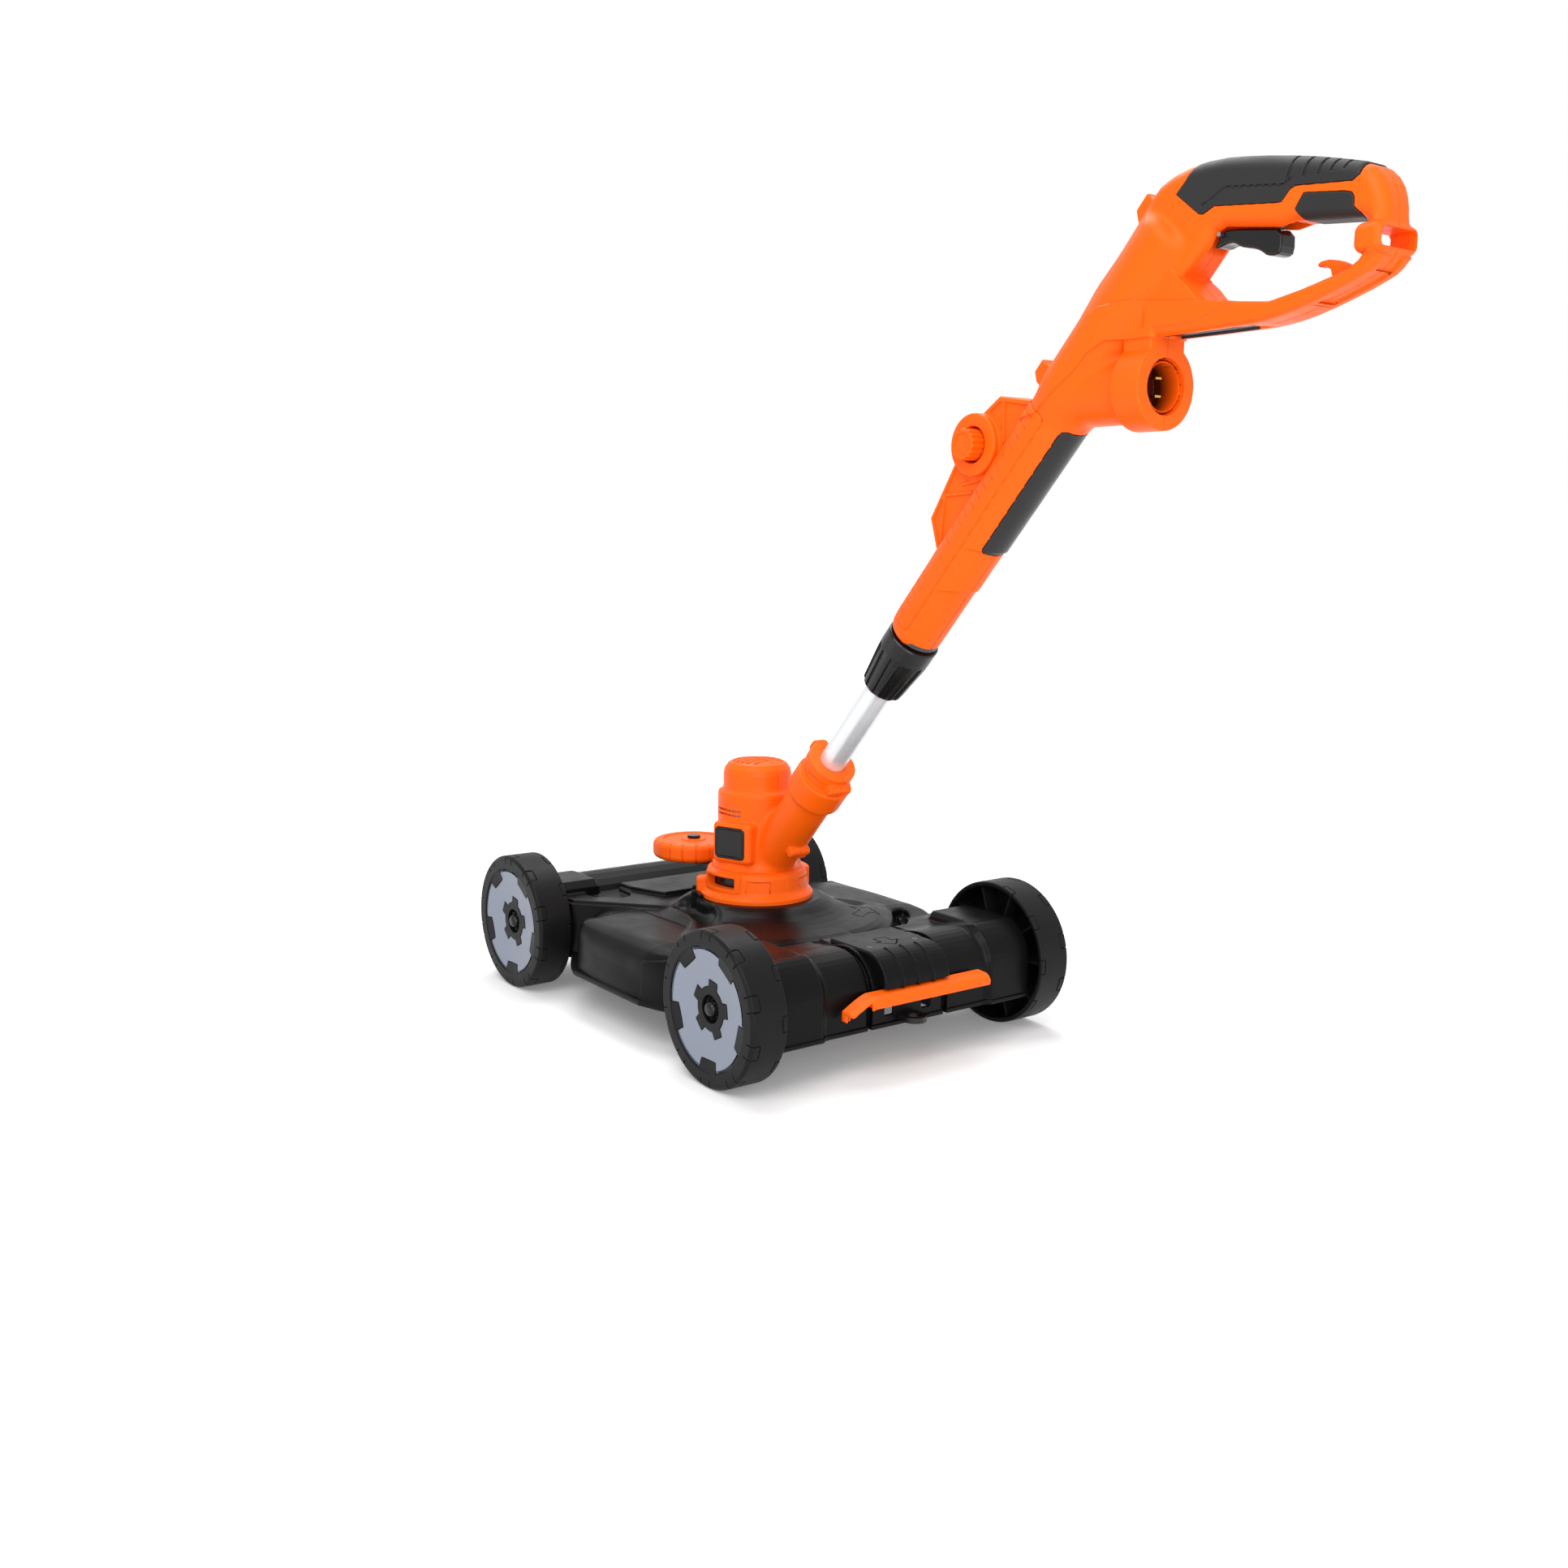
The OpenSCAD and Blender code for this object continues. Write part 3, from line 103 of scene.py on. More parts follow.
def rect(u, v, low, high, r):
    return block((u, v), low, high, r)


def rod(u, v, w, centre, r, low, high, edge):
    """A rod along w about a centre in u and v."""
    return rounded(np.hypot(u - centre[0], v - centre[1]) - r, slab(w, low, high), edge)


def to_stretch(u, v, start, end):
    """Squared distance to a straight stretch of a line."""
    ex, ey = end[0] - start[0], end[1] - start[1]
    wx, wy = u - start[0], v - start[1]
    t = np.clip((wx * ex + wy * ey) / (ex * ex + ey * ey), 0.0, 1.0)
    return (wx - ex * t) ** 2 + (wy - ey * t) ** 2


def crosses(u, v, start, end):
    """Whether a level line from a point out to one side meets a stretch."""
    (ax, ay), (bx, by) = start, end
    above, below, left = v >= ay, v < by, (bx - ax) * (v - ay) > (by - ay) * (u - ax)
    return (above & below & left) | ~(above | below | left)


def path(u, v, points):
    """Distance to an open line."""
    return np.sqrt(reduce(np.minimum, (to_stretch(u, v, a, b) for a, b in zip(points, points[1:]))))


def poly(u, v, points):
    """Signed distance to a closed outline."""
    sides = list(zip(points, points[1:] + points[:1]))
    d = np.sqrt(reduce(np.minimum, (to_stretch(u, v, a, b) for a, b in sides)))
    inside = reduce(np.logical_xor, (crosses(u, v, a, b) for a, b in sides))
    return np.where(inside, -d, d)


def carve(f, line, half, depth):
    """A field with a groove of a width and depth along a line drawn on its surface."""
    return cut(f, -(f + depth), line - half)


def raise_on(f, region, height, soft):
    """A field lifted by a height inside a region."""
    return fuse(f, soft_share(f - height, region, soft), soft)


def only(line, where):
    """A line that is drawn only where a condition holds."""
    return line + np.where(where, 0.0, FAR)


def ramp(u, start, length):
    """Rises from 0 at a start to 1 after a length."""
    return np.clip((u - start) / length, 0.0, 1.0)


def turned(v, w, angle):
    """Places along and across a direction."""
    c, s = math.cos(angle), math.sin(angle)
    return v * c + w * s, w * c - v * s


def spaced(turn, count, phase=0.5):
    """Angle from the nearest of evenly spaced marks."""
    pitch = 2.0 * math.pi / count
    return (turn + phase * pitch) % pitch - 0.5 * pitch


def smooth(points):
    """An outline with its corners cut."""
    p = np.asarray(points, float)
    q = np.roll(p, -1, 0)
    cut_points = np.stack([0.75 * p + 0.25 * q, 0.25 * p + 0.75 * q], 1).reshape(-1, 2)
    return [tuple(a) for a in cut_points]


def arc(centre, r, start, end):
    """Points along an arc between two angles in degrees."""
    turns = [math.radians(start + (end - start) * i / ARC_STEPS) for i in range(ARC_STEPS + 1)]
    return [(centre[0] + r * math.cos(t), centre[1] + r * math.sin(t)) for t in turns]


# Fields to meshes
CORNERS = [(i, j, k) for i in (0, 1) for j in (0, 1) for k in (0, 1)]
EDGES = [(a, b) for a in range(8) for b in range(a + 1, 8)
         if sum(x != y for x, y in zip(CORNERS[a], CORNERS[b])) == 1]
CORES = 4
SLICES = 12
MARGIN_CELLS = 2.3
QUICK_COARSE = 1.7


def sample(field, axes):
    """The field on a grid, a few slices at a time on all cores."""
    xs, ys, zs = axes
    shape = (len(xs), len(ys), len(zs))
    values = np.empty(shape, np.float32)

    def fill(i):
        part = xs[i:i + SLICES, None, None]
        f = field(part, ys[None, :, None], zs[None, None, :])
        values[i:i + SLICES] = np.broadcast_to(f, (part.shape[0],) + shape[1:])

    with ThreadPoolExecutor(CORES) as pool:
        list(pool.map(fill, range(0, shape[0], SLICES)))
    return values


def cell_points(values, cells, views):
    """For each cell, the mean of the places where the surface meets its edges."""
    at = [values[part][tuple(cells.T)] for part in views]
    total = np.zeros((len(cells), 3))
    hits = np.zeros(len(cells))
    for a, b in EDGES:
        va, vb = at[a], at[b]
        cross = (va < 0.0) != (vb < 0.0)
        t = np.where(cross, va / np.where(cross, va - vb, 1.0), 0.0)
        p = np.array(CORNERS[a]) + t[:, None] * (np.array(CORNERS[b]) - np.array(CORNERS[a]))
        total += np.where(cross[:, None], p, 0.0)
        hits += cross
    return cells + total / hits[:, None]


def nets(values, low, step):
    """A surface of quads, one point in each cell that the surface crosses."""
    inside = values < 0.0
    count = np.zeros([n - 1 for n in values.shape], np.int8)
    views = [tuple(slice(a, n - 1 + a) for a, n in zip(corner, values.shape)) for corner in CORNERS]
    for part in views:
        count += inside[part]
    cells = np.argwhere((count > 0) & (count < len(CORNERS)))
    ids = np.full(count.shape, -1, np.int32)
    ids[tuple(cells.T)] = np.arange(len(cells))
    points = low + cell_points(values, cells, views) * step
    quads = []
    for axis in range(3):
        u, v = (axis + 1) % 3, (axis + 2) % 3
        here = [slice(1, -1)] * 3
        past = [slice(1, -1)] * 3
        here[axis], past[axis] = slice(0, -1), slice(1, None)
        a, b = inside[tuple(here)], inside[tuple(past)]
        du, dv = np.zeros(3, int), np.zeros(3, int)
        du[u] = dv[v] = 1
        for out in (False, True):
            g = np.argwhere(b & ~a if out else a & ~b) + du + dv
            ring = [g, g - du, g - du - dv, g - dv]
            q = np.stack([ids[tuple(p.T)] for p in ring], 1)
            quads.append(q[:, ::-1] if out else q)
    return points, np.concatenate(quads)


def mesh_data(name, points, faces):
    mesh = bpy.data.meshes.new(name)
    mesh.vertices.add(len(points))
    mesh.vertices.foreach_set("co", np.asarray(points, np.float32).ravel())
    side = faces.shape[1]
    mesh.loops.add(faces.size)
    mesh.loops.foreach_set("vertex_index", faces.astype(np.int32).ravel())
    mesh.polygons.add(len(faces))
    mesh.polygons.foreach_set("loop_start", np.arange(0, faces.size, side, dtype=np.int32))
    mesh.update(calc_edges=True)
    mesh.validate()
    return mesh


def slope(field, p, h):
    """A field and its gradient at points, from places h to each side."""
    x, y, z = p.T.astype(np.float64)
    f = field(x, y, z)
    g = np.stack([field(x + h, y, z) - field(x - h, y, z),
                  field(x, y + h, z) - field(x, y - h, z),
                  field(x, y, z + h) - field(x, y, z - h)], 1) / (2.0 * h)
    return f, g


def thin(mesh, keep):
    """The mesh with its flat parts made of fewer faces."""
    holder = bpy.data.objects.new("thin", mesh)
    SCENE.collection.objects.link(holder)
    mod = holder.modifiers.new("thin", "DECIMATE")
    mod.ratio = keep
    mod.use_collapse_triangulate = True
    graph = bpy.context.evaluated_depsgraph_get()
    out = bpy.data.meshes.new_from_object(holder.evaluated_get(graph))
    bpy.data.objects.remove(holder)
    bpy.data.meshes.remove(mesh)
    return out


def field_mesh(name, field, low, high, step, keep):
    """A mesh of a field, in metres, with normals that follow the field."""
    least_slope = 0.3
    step = step * 1.0
    low = np.array(low, float) - MARGIN_CELLS * step
    high = np.array(high, float) + MARGIN_CELLS * step
    axes = [np.arange(a, b + step, step).astype(np.float32) for a, b in zip(low, high)]
    points, quads = nets(sample(field, axes), low, step)
    mesh = thin(mesh_data(name, points, quads), keep)
    mesh.name = name
    p = np.empty(len(mesh.vertices) * 3, np.float32)
    mesh.vertices.foreach_get("co", p)
    p = p.reshape(-1, 3).astype(np.float64)
    for _ in range(2):
        f, g = slope(field, p, 0.1 * step)
        size = np.maximum((g * g).sum(1), least_slope)
        p -= np.clip(f / size, -0.5 * step, 0.5 * step)[:, None] * g
    _, g = slope(field, p, 0.3 * step)
    g /= np.maximum(np.linalg.norm(g, axis=1), 1e-6)[:, None]
    mesh.vertices.foreach_set("co", (p * MM).astype(np.float32).ravel())
    mesh.shade_smooth()
    mesh.update()
    mesh.normals_split_custom_set_from_vertices(g)
    return mesh


def piece(name, mesh, material, body, slot, *replaced, place=None):
    """A piece of the scene, on its body, in place of the CAD nodes that it shows."""
    obj = bpy.data.objects.new(name, mesh)
    SCENE.collection.objects.link(obj)
    if not mesh.materials:
        mesh.materials.append(material)
    if place is not None:
        obj.matrix_world = place
    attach(obj, body)
    if replaced:
        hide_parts(*replaced)


# Materials
WHITE = (1.0, 1.0, 1.0, 1.0)
CLOUD_SCALE, MOTTLE_SCALE, GLOSS_SCALE = 9.0, 260.0, 38.0
GLOSS_VARY = 0.06
# Painted highlight: convex edges, picked out by pointiness between these points, are lightened towards a
# lighter level and broken up by noise
EDGE_HIGHLIGHT_POINTS = (0.52, 0.62)
EDGE_HIGHLIGHT_LEVEL, EDGE_HIGHLIGHT_SHARE = 0.28, 0.45
# How dark the painted shade deep in a recess gets, as a share of the colour
WELL_SHADE_TONE = 0.06


def srgb(*levels):
    """A linear colour from screen levels of 0 to 255."""
    return tuple(c / 12.92 / 255 if c <= 10 else ((c / 255 + 0.055) / 1.055) ** 2.4 for c in levels)


def tone(colour, factor):
    return tuple(min(1.0, c * factor) for c in colour)


class Nodes:
    """The shader nodes of a material or a world."""

    def __init__(self, owner, kind):
        owner.use_nodes = True
        self.owner = owner
        self.tree = owner.node_tree
        self.tree.nodes.clear()
        self.out = self.add("Output" + kind)

    def add(self, kind, **values):
        node = self.tree.nodes.new("ShaderNode" + kind)
        for key, value in values.items():
            if key in node.inputs:
                node.inputs[key].default_value = value
            else:
                setattr(node, key, value)
        return node

    def link(self, a, b):
        self.tree.links.new(a, b)

    def place(self):
        return self.add("TexCoord").outputs["Object"]

    def calc(self, operation, a, b):
        node = self.add("Math", operation=operation)
        self.link(a, node.inputs[0])
        self.link(b, node.inputs[1])
        return node.outputs[0]

    def noise(self, scale, detail=4.0, stretch=None):
        node = self.add("TexNoise", Scale=scale, Detail=detail, Roughness=0.6)
        where = self.place()
        if stretch:
            mapping = self.add("Mapping", Scale=stretch)
            self.link(where, mapping.inputs["Vector"])
            where = mapping.outputs["Vector"]
        self.link(where, node.inputs["Vector"])
        return node.outputs["Fac"]

    def spread(self, value, low, high, from_low=0.3, from_high=0.7):
        node = self.add("MapRange")
        for key, v in zip((1, 2, 3, 4), (from_low, from_high, low, high)):
            node.inputs[key].default_value = v
        self.link(value, node.inputs[0])
        return node.outputs[0]

    def blend(self, factor, a, b):
        node = self.add("Mix", data_type="RGBA")
        self.link(factor, node.inputs[0])
        for socket, value in ((node.inputs[6], a), (node.inputs[7], b)):
            if isinstance(value, tuple):
                socket.default_value = (*value, 1.0)
            else:
                self.link(value, socket)
        return node.outputs[2]


def moulded(name, colour, rough, *, vary=0.05, grain=1500.0, depth=0.06, strength=0.25, edge=0.0,
            metal=0.0, specular=0.5, stretch=None, painted_well_shade=None):
    """A moulded plastic or metal: cloudy colour, fine grain, a painted highlight on its edges, and painted
    shade deep down in a recess.
    """
    n = Nodes(bpy.data.materials.new(name), "Material")
    shader = n.add("BsdfPrincipled", Metallic=metal)
    shader.inputs["Specular IOR Level"].default_value = specular
    mottle = n.noise(MOTTLE_SCALE, 3.0)
    cloud = n.spread(n.noise(CLOUD_SCALE), 0.0, 1.0)
    look = n.blend(cloud, tone(colour, 1.0 - vary), tone(colour, 1.0 + vary))
    look = n.blend(n.spread(mottle, 0.0, 0.35), look, tone(colour, 1.0 - vary))
    # Painted highlight on convex edges, standing in for light catching them
    if edge:
        point = n.add("NewGeometry").outputs["Pointiness"]
        edge_highlight = n.calc("MULTIPLY", n.spread(point, 0.0, edge, *EDGE_HIGHLIGHT_POINTS), n.spread(mottle, 0.4, 1.0))
        pale = tuple((1.0 - EDGE_HIGHLIGHT_SHARE) * c + EDGE_HIGHLIGHT_SHARE * max(EDGE_HIGHLIGHT_LEVEL, c) for c in colour)
        look = n.blend(edge_highlight, look, pale)
    # Painted shade: the colour darkens deeper into a recess, where shade falls
    if painted_well_shade:
        split = n.add("SeparateXYZ")
        n.link(n.place(), split.inputs[0])
        look = n.blend(n.spread(split.outputs["Y"], 1.0, 0.0, *painted_well_shade), look, tone(colour, WELL_SHADE_TONE))
    n.link(look, shader.inputs["Base Color"])
    gloss = n.spread(n.noise(GLOSS_SCALE), rough - GLOSS_VARY, rough + GLOSS_VARY)
    n.link(gloss, shader.inputs["Roughness"])
    bump = n.add("Bump", Strength=strength, Distance=depth * MM)
    n.link(n.noise(grain, 2.0, stretch), bump.inputs["Height"])
    n.link(bump.outputs["Normal"], shader.inputs["Normal"])
    n.link(shader.outputs[0], n.out.inputs["Surface"])
    return n.owner


ORANGE = srgb(252, 97, 9)
# Depths along y, in metres, over which painted shade darkens the inside of the inlet sleeve
INLET_DEPTHS = (0.474, 0.4905)
MAT = {
    "orange": moulded("orange_moulding", ORANGE, 0.42, vary=0.03, edge=0.10, specular=0.16),
    # Orange with painted shade deep inside the inlet
    "painted_well_shade": moulded("orange_painted_shade", ORANGE, 0.42, vary=0.03, specular=0.16, painted_well_shade=INLET_DEPTHS),
    "deck": moulded("deck_moulding", srgb(12, 12, 13), 0.33, vary=0.14, specular=0.10, edge=0.05,
                    depth=0.09, strength=0.35),
    "tyre": moulded("tyre_moulding", srgb(18, 18, 19), 0.44, vary=0.14, specular=0.14, edge=0.08,
                    depth=0.09, strength=0.35),
    "disc": moulded("disc_moulding", srgb(126, 133, 148), 0.42, vary=0.04, edge=0.05),
    "rubber": moulded("grip_rubber", srgb(31, 31, 32), 0.55, vary=0.12, specular=0.3, grain=2600.0,
                      strength=0.4, edge=0.06),
    "gloss": moulded("gloss_black", srgb(17, 17, 18), 0.24, vary=0.15, strength=0.12, specular=0.3,
                     edge=0.05),
    "label": moulded("bare_label", srgb(40, 40, 42), 0.36, vary=0.08, strength=0.10, specular=0.25),
    "steel": moulded("steel", srgb(150, 152, 156), 0.34, metal=1.0, vary=0.06, grain=700.0),
    "tube": moulded("tube_metal", srgb(226, 228, 232), 0.34, metal=0.55, vary=0.03, grain=900.0,
                    stretch=(1.0, 0.08, 0.08)),
    "brass": moulded("blade_brass", srgb(214, 172, 84), 0.28, metal=1.0, vary=0.05),
    "inner": moulded("inner_plastic", srgb(58, 58, 60), 0.45, vary=0.08),
    "line": moulded("line_plastic", srgb(236, 150, 46), 0.40, vary=0.04),
    "copper": moulded("winding_copper", srgb(168, 103, 47), 0.38, metal=0.8, vary=0.08),
}

# Deck: a is the distance from its middle plane, and r from the middle of its bowl
AXLE_Y, AXLE_Z = 185, 70
AXLE_BORE_R = 5.1
BOWL_R, BOWL_FLAT = 184, 177
DECK_LOW, DECK_WALL = 39, 3
LIP_OUT, LIP_FLAT, LIP_LEVELS = 6, 180, (40, 45.5)
BEAD_OUT, BEAD_TOP = 1.4, 43.5
SINK, SIDE_INSET = 6, ((100, -71), (240, 74))
BRIDGE = ((-9, 60, 30), (18, 154, 95))
ARCH_Z, ARCH_R = 64, 130
PANEL_IN, PANEL_TOP, PANEL_RAISE = 148, 80.5, 3.2
BOSS_R, BOSS_SPAN = 16, (130, 164)
MOUTH_R, MOUTH_LOW = 47.5, 88
BEAM_END = 99
BOX_IN, BOX_OUT = 97, 149
SLOT_A, SLOT_HALF, SLOT_DEPTH = 45, 6.5, 5
SHELF_HALF, SHELF_TOP, SHELF_FRONT, SHELF_BACK = 172.5, 93.6, -90, 151
CHANNEL_R, CHANNEL_Z, CHANNEL_HALF = 149, 88, 9
GUTTER_Z, GUTTER_HALF = 107.5, 11
DOCK_R, DOCK_HALF, DOCK_LEVELS, DOCK_BACK = 60.8, 2.1, (104, 116.5), -12
DOCK_TAB = ((61.5, 9, 100), (66.5, 14, 118))
PEDAL_LUG, PEDAL_LUG_SPAN = ((196, 48), (231, 72)), (28, 32)
PEDAL_SLOT = ((16.7, 226, 50), (27.3, 240, 74))
LATCH_HALF = 12.3
LATCH_SLOT = ((-LATCH_HALF, 60, 83.7), (LATCH_HALF, 176, 89.3))
LOCK_TURN = math.radians(-36)
DIAGONAL = 0.7071
BOWL = [(0, -60), (BOWL_R, -60), (BOWL_R, 45), (179, 57), (173.5, 67), *arc((147, 67.5), 26.5, 0, 84),
        (125, 95), (100, 96), (91, 98.5), (83, 102.3), (75, 107.5), (66, 112), (0, 112)]
HUMP = [(0, 40), (139.3, 40), (139, 85), (137.6, 90), (133, 94.6), (126, 97), (108, 99), (98, 100.6),
        (88, 103), (80, 106), (72, 110), (66, 112), (0, 112)]
PLATEAU = [(-50, -152), (147, -152), (145, -124), (79, -50), (62, -38), (-50, -38)]
POCKET = [(119, -129), (98, -107), (86, -110), (77, -122), (74, -152), (116, -152)]
PLATE = [(-50, -152), (72, -152), (72, -129), (57, -86), (-50, -86)]
REAR = [(150, -60), (232, -60), *arc((198, 70), 34, 0, 90), (156, 104), (150, 99)]
REAR_BOX = [(147, -60), (236, -60), *arc((198, 74), 38, 0, 90), (154, 112), (147, 105)]
GUTTER = [(67, -34), (71, 0), (78, 22), (93, 47)]
DECK_ARROW = [(-94, 66), (-72, 62), (-78, 72), (-58, 84), (-64, 93), (-84, 81), (-89, 90)]
FRONT = [(-232, -60), (-150, -60), (-150, 88), *arc((-195, 73), 37, 30, 180)]


def bowl(a, y, z, r):
    """The cutting bowl with flat sides, a shelf along them and a shallow inset on each side."""
    sink = SINK * ramp(y, 56, 50) * ramp(z, 50, 30)
    f = rounded(poly(r, z + sink, BOWL), a - BOWL_FLAT, 9)
    shelf = rounded(a - SHELF_HALF, z + sink - SHELF_TOP, 20)
    shelf = rounded(shelf, SHELF_FRONT - y, 24)
    shelf = share(rounded(shelf, r - BOWL_R, 8), y - SHELF_BACK)
    f = fuse(f, shelf, 5)
    inset = rect(a, y, *SIDE_INSET, 16)
    return carve(f, inset, 0, 0.9 * ramp(z, 89, 3) - 0.01)


def hump(a, y, z, r):
    """The raised rear of the bowl, which starts on a slant beside the collar."""
    start = (5 + 0.9 * np.maximum(a - 78, 0) - y) * 0.75
    return soft_share(poly(r, z, HUMP), start, 9)


def plateaus(f, a, y, z):
    """The bowl with the stepped plateau in front of the collar, its plate and its pocket."""
    plan = poly(a, y, PLATEAU)
    steps = ((plan - 3.2, 96.8, 1.2, 1.5), (plan, 100, 1.6, 1.5), (poly(a, y, PLATE), 104, 1.6, 2))
    for outline, top, edge, fillet in steps:
        f = fuse(f, rounded(outline, z - top, edge), fillet)
    return soft_cut(f, soft_share(poly(a, y, POCKET), 94.5 - z, 3), 4)


def channels(f, a, y, z, r):
    """The bowl with a channel along each rear side and a gutter beside the collar."""
    channel = np.hypot(r - CHANNEL_R, z - CHANNEL_Z) - CHANNEL_HALF
    f = soft_cut(f, soft_share(channel, share(68 - y, 62 - a), 8), 4)
    gutter = np.hypot(path(a, y, GUTTER), z - GUTTER_Z) - GUTTER_HALF
    return soft_cut(f, soft_share(gutter, 64 - r, 2), 6)


def wheel_box(y, z, a):
    """The raised end of an axle beam, with a slanted step down to it."""
    side = poly(y, z, REAR_BOX)
    f = rounded(side, slab(a, BOX_IN, BOX_OUT), 1.5)
    return soft_share(f, (side + BOX_IN - a) * DIAGONAL + 3.6, 1)


def rear_beam(a, y, z):
    """The rear axle beam, with a slot on each side of the latch cover."""
    side = poly(y, z, REAR)
    f = cut(share(side, a - BEAM_END), abs(a - SLOT_A) - SLOT_HALF, -(side + SLOT_DEPTH))
    return fuse(f, wheel_box(y, z, a), 3)


def front_beam(a, y, z):
    f = share(poly(y, z, FRONT), a - BEAM_END)
    return fuse(f, wheel_box(-y, z, a), 5)


def deck_outside(x, y, z):
    a, r = abs(x), np.hypot(x, y)
    bridge = box(a, y, z, *BRIDGE, 3)
    f = fuse(fuse(bowl(a, y, z, r), hump(a, y, z, r), 4), bridge, 4)
    f = channels(plateaus(f, a, y, z), a, y, z, r)
    f = fuse(f, rear_beam(a, y, z), 3)
    f = fuse(f, front_beam(a, y, z), 3)
    arch = np.hypot(y - AXLE_Y, z - ARCH_Z) - ARCH_R
    panel = share(arch, PANEL_IN - r, z - PANEL_TOP - 0.2 * (y - 55), -y)
    return raise_on(f, panel, PANEL_RAISE, 1.4)


def deck_skin(f, x, y, z):
    """The deck's wall with its bead, arrow, lip and docking collar."""
    a, r = abs(x), np.hypot(x, y)
    hollow = -(f + DECK_WALL)
    skin = join(share(f, hollow), share(f - BEAD_OUT, hollow, z - BEAD_TOP))
    skin = carve(skin, only(abs(poly(x, y, DECK_ARROW)), z > 88), 0.5, 0.7)
    lip = rounded(share(r - (BOWL_R + LIP_OUT), a - LIP_FLAT), slab(z, *LIP_LEVELS), 1.5)
    skin = fuse(skin, share(lip, hollow), 2)
    collar = share(abs(r - DOCK_R) - DOCK_HALF, slab(z, *DOCK_LEVELS), y - DOCK_BACK)
    return fuse(skin, collar, 2)


def deck_fittings(f, x, y, z):
    """Tabs beside the collar, axle bosses, pedal lugs, latch rails and cross ribs."""
    a, b = abs(x), abs(y)
    out, side = turned(a, y, LOCK_TURN)
    tabs = share(box(out, abs(side), z, *DOCK_TAB, 1.5), -x)
    bosses = rod(b, z, a, (AXLE_Y, AXLE_Z), BOSS_R, *BOSS_SPAN, 1.5)
    lugs = share(rect(y, z, *PEDAL_LUG, 3), slab(a, *PEDAL_LUG_SPAN))
    rails = share(slab(a, LATCH_HALF, LATCH_HALF + DECK_WALL), slab(y, 66, 141), 84 - z, f + 1)
    ribs = share(abs(b - AXLE_Y) - 1.2, slab(a, 60, 128), f + 1, 50 - z)
    return join(tabs, bosses, lugs, rails, ribs)


def deck(x, y, z):
    a, r = abs(x), np.hypot(x, y)
    f = deck_outside(x, y, z)
    shell = join(deck_skin(f, x, y, z), deck_fittings(f, x, y, z))
    shell = share(shell, DECK_LOW - z, AXLE_BORE_R - np.hypot(abs(y) - AXLE_Y, z - AXLE_Z))
    shell = cut(shell, r - MOUTH_R, MOUTH_LOW - z)
    shell = cut(shell, box(a, y, z, *PEDAL_SLOT, 1))
    return cut(shell, box(x, y, z, *LATCH_SLOT, 0.1))


# Latch cover
COVER = [(168, 100), (168, 108), *arc((221, 80), 28, 90, 0), (249, 79), (200, 79), (200, 100)]
COVER_HALF, COVER_WALL, COVER_GAP = 38.5, 3, 0.4
COVER_RIB_A, COVER_RIB_HALF = 18, 1.3
COVER_SCREW, COVER_HOLE_R, COVER_HOLE_LOW = (27, 212), 3.4, 106.6
ARROW = [(-13, 204), (0, 217), (13, 204), (6.5, 204), (6.5, 193), (-6.5, 193), (-6.5, 204)]


def latch_cover(x, y, z):
    a, side = abs(x), poly(y, z, COVER)
    f = rounded(side, a - COVER_HALF, 2.5)
    ribs = join(a, abs(a - COVER_RIB_A)) - COVER_RIB_HALF
    f = raise_on(f, share(ribs, 222 - y), 1.3, 0.8)
    f = carve(f, abs(poly(x, y, ARROW)), 0.5, np.where(z > 105, 0.8, -1))
    f = cut(f, poly(y, z, REAR) - COVER_GAP)
    f = cut(f, side + COVER_WALL, a - (COVER_HALF - COVER_WALL))
    return cut(f, np.hypot(a - COVER_SCREW[0], y - COVER_SCREW[1]) - COVER_HOLE_R, COVER_HOLE_LOW - z)


# Pedal: its left end bends down, and the bar is hollow below with cross ribs
PEDAL_BAR = [(240, 66.2), (258, 66.2), (258.4, 70.5), (256, 74.5), (252, 76.6), (241.5, 77.2), (240, 76)]
PEDAL_HALF, PEDAL_WALL = 82, 2.5
PEDAL_DROP, PEDAL_RIB_PITCH = 11, 11
PEDAL_PIN, PEDAL_BORE_R, PEDAL_KNUCKLE_R, PEDAL_ARMS = (202, 66), 2.55, 6, 27
PEDAL_ARM = ((17, 202, 62), (PEDAL_ARMS, 249, 70))
PEDAL_TAIL = ((-5, 199.5, 66), (5, 204.5, 88))
PEDAL_END = ((60, 247, 50), (90, 270, 72.8))


def pedal(x, y, z):
    a = abs(x)
    bent = z + PEDAL_DROP * ramp(x, 56, 24) ** 1.3
    f = rounded(poly(y, bent, PEDAL_BAR), a - PEDAL_HALF, 2.2)
    room = PEDAL_HALF - PEDAL_WALL
    hollow = box(x, y, bent, (-room, 242.2, 50), (room, 255.8, 73.4), 1)
    rib = abs((a + 5) % PEDAL_RIB_PITCH - 0.5 * PEDAL_RIB_PITCH) - 0.9
    f = cut(f, hollow, -rib)
    f = cut(f, box(x, y, bent, *PEDAL_END, 1))
    arms = box(a, y, z, *PEDAL_ARM, 1.5)
    knuckle = rod(y, z, x, PEDAL_PIN, PEDAL_KNUCKLE_R, -PEDAL_ARMS, PEDAL_ARMS, 0.8)
    tail = box(x, y, z, *PEDAL_TAIL, 0.8)
    f = join(f, arms, knuckle, tail)
    return share(f, PEDAL_BORE_R - np.hypot(y - PEDAL_PIN[0], z - PEDAL_PIN[1]))


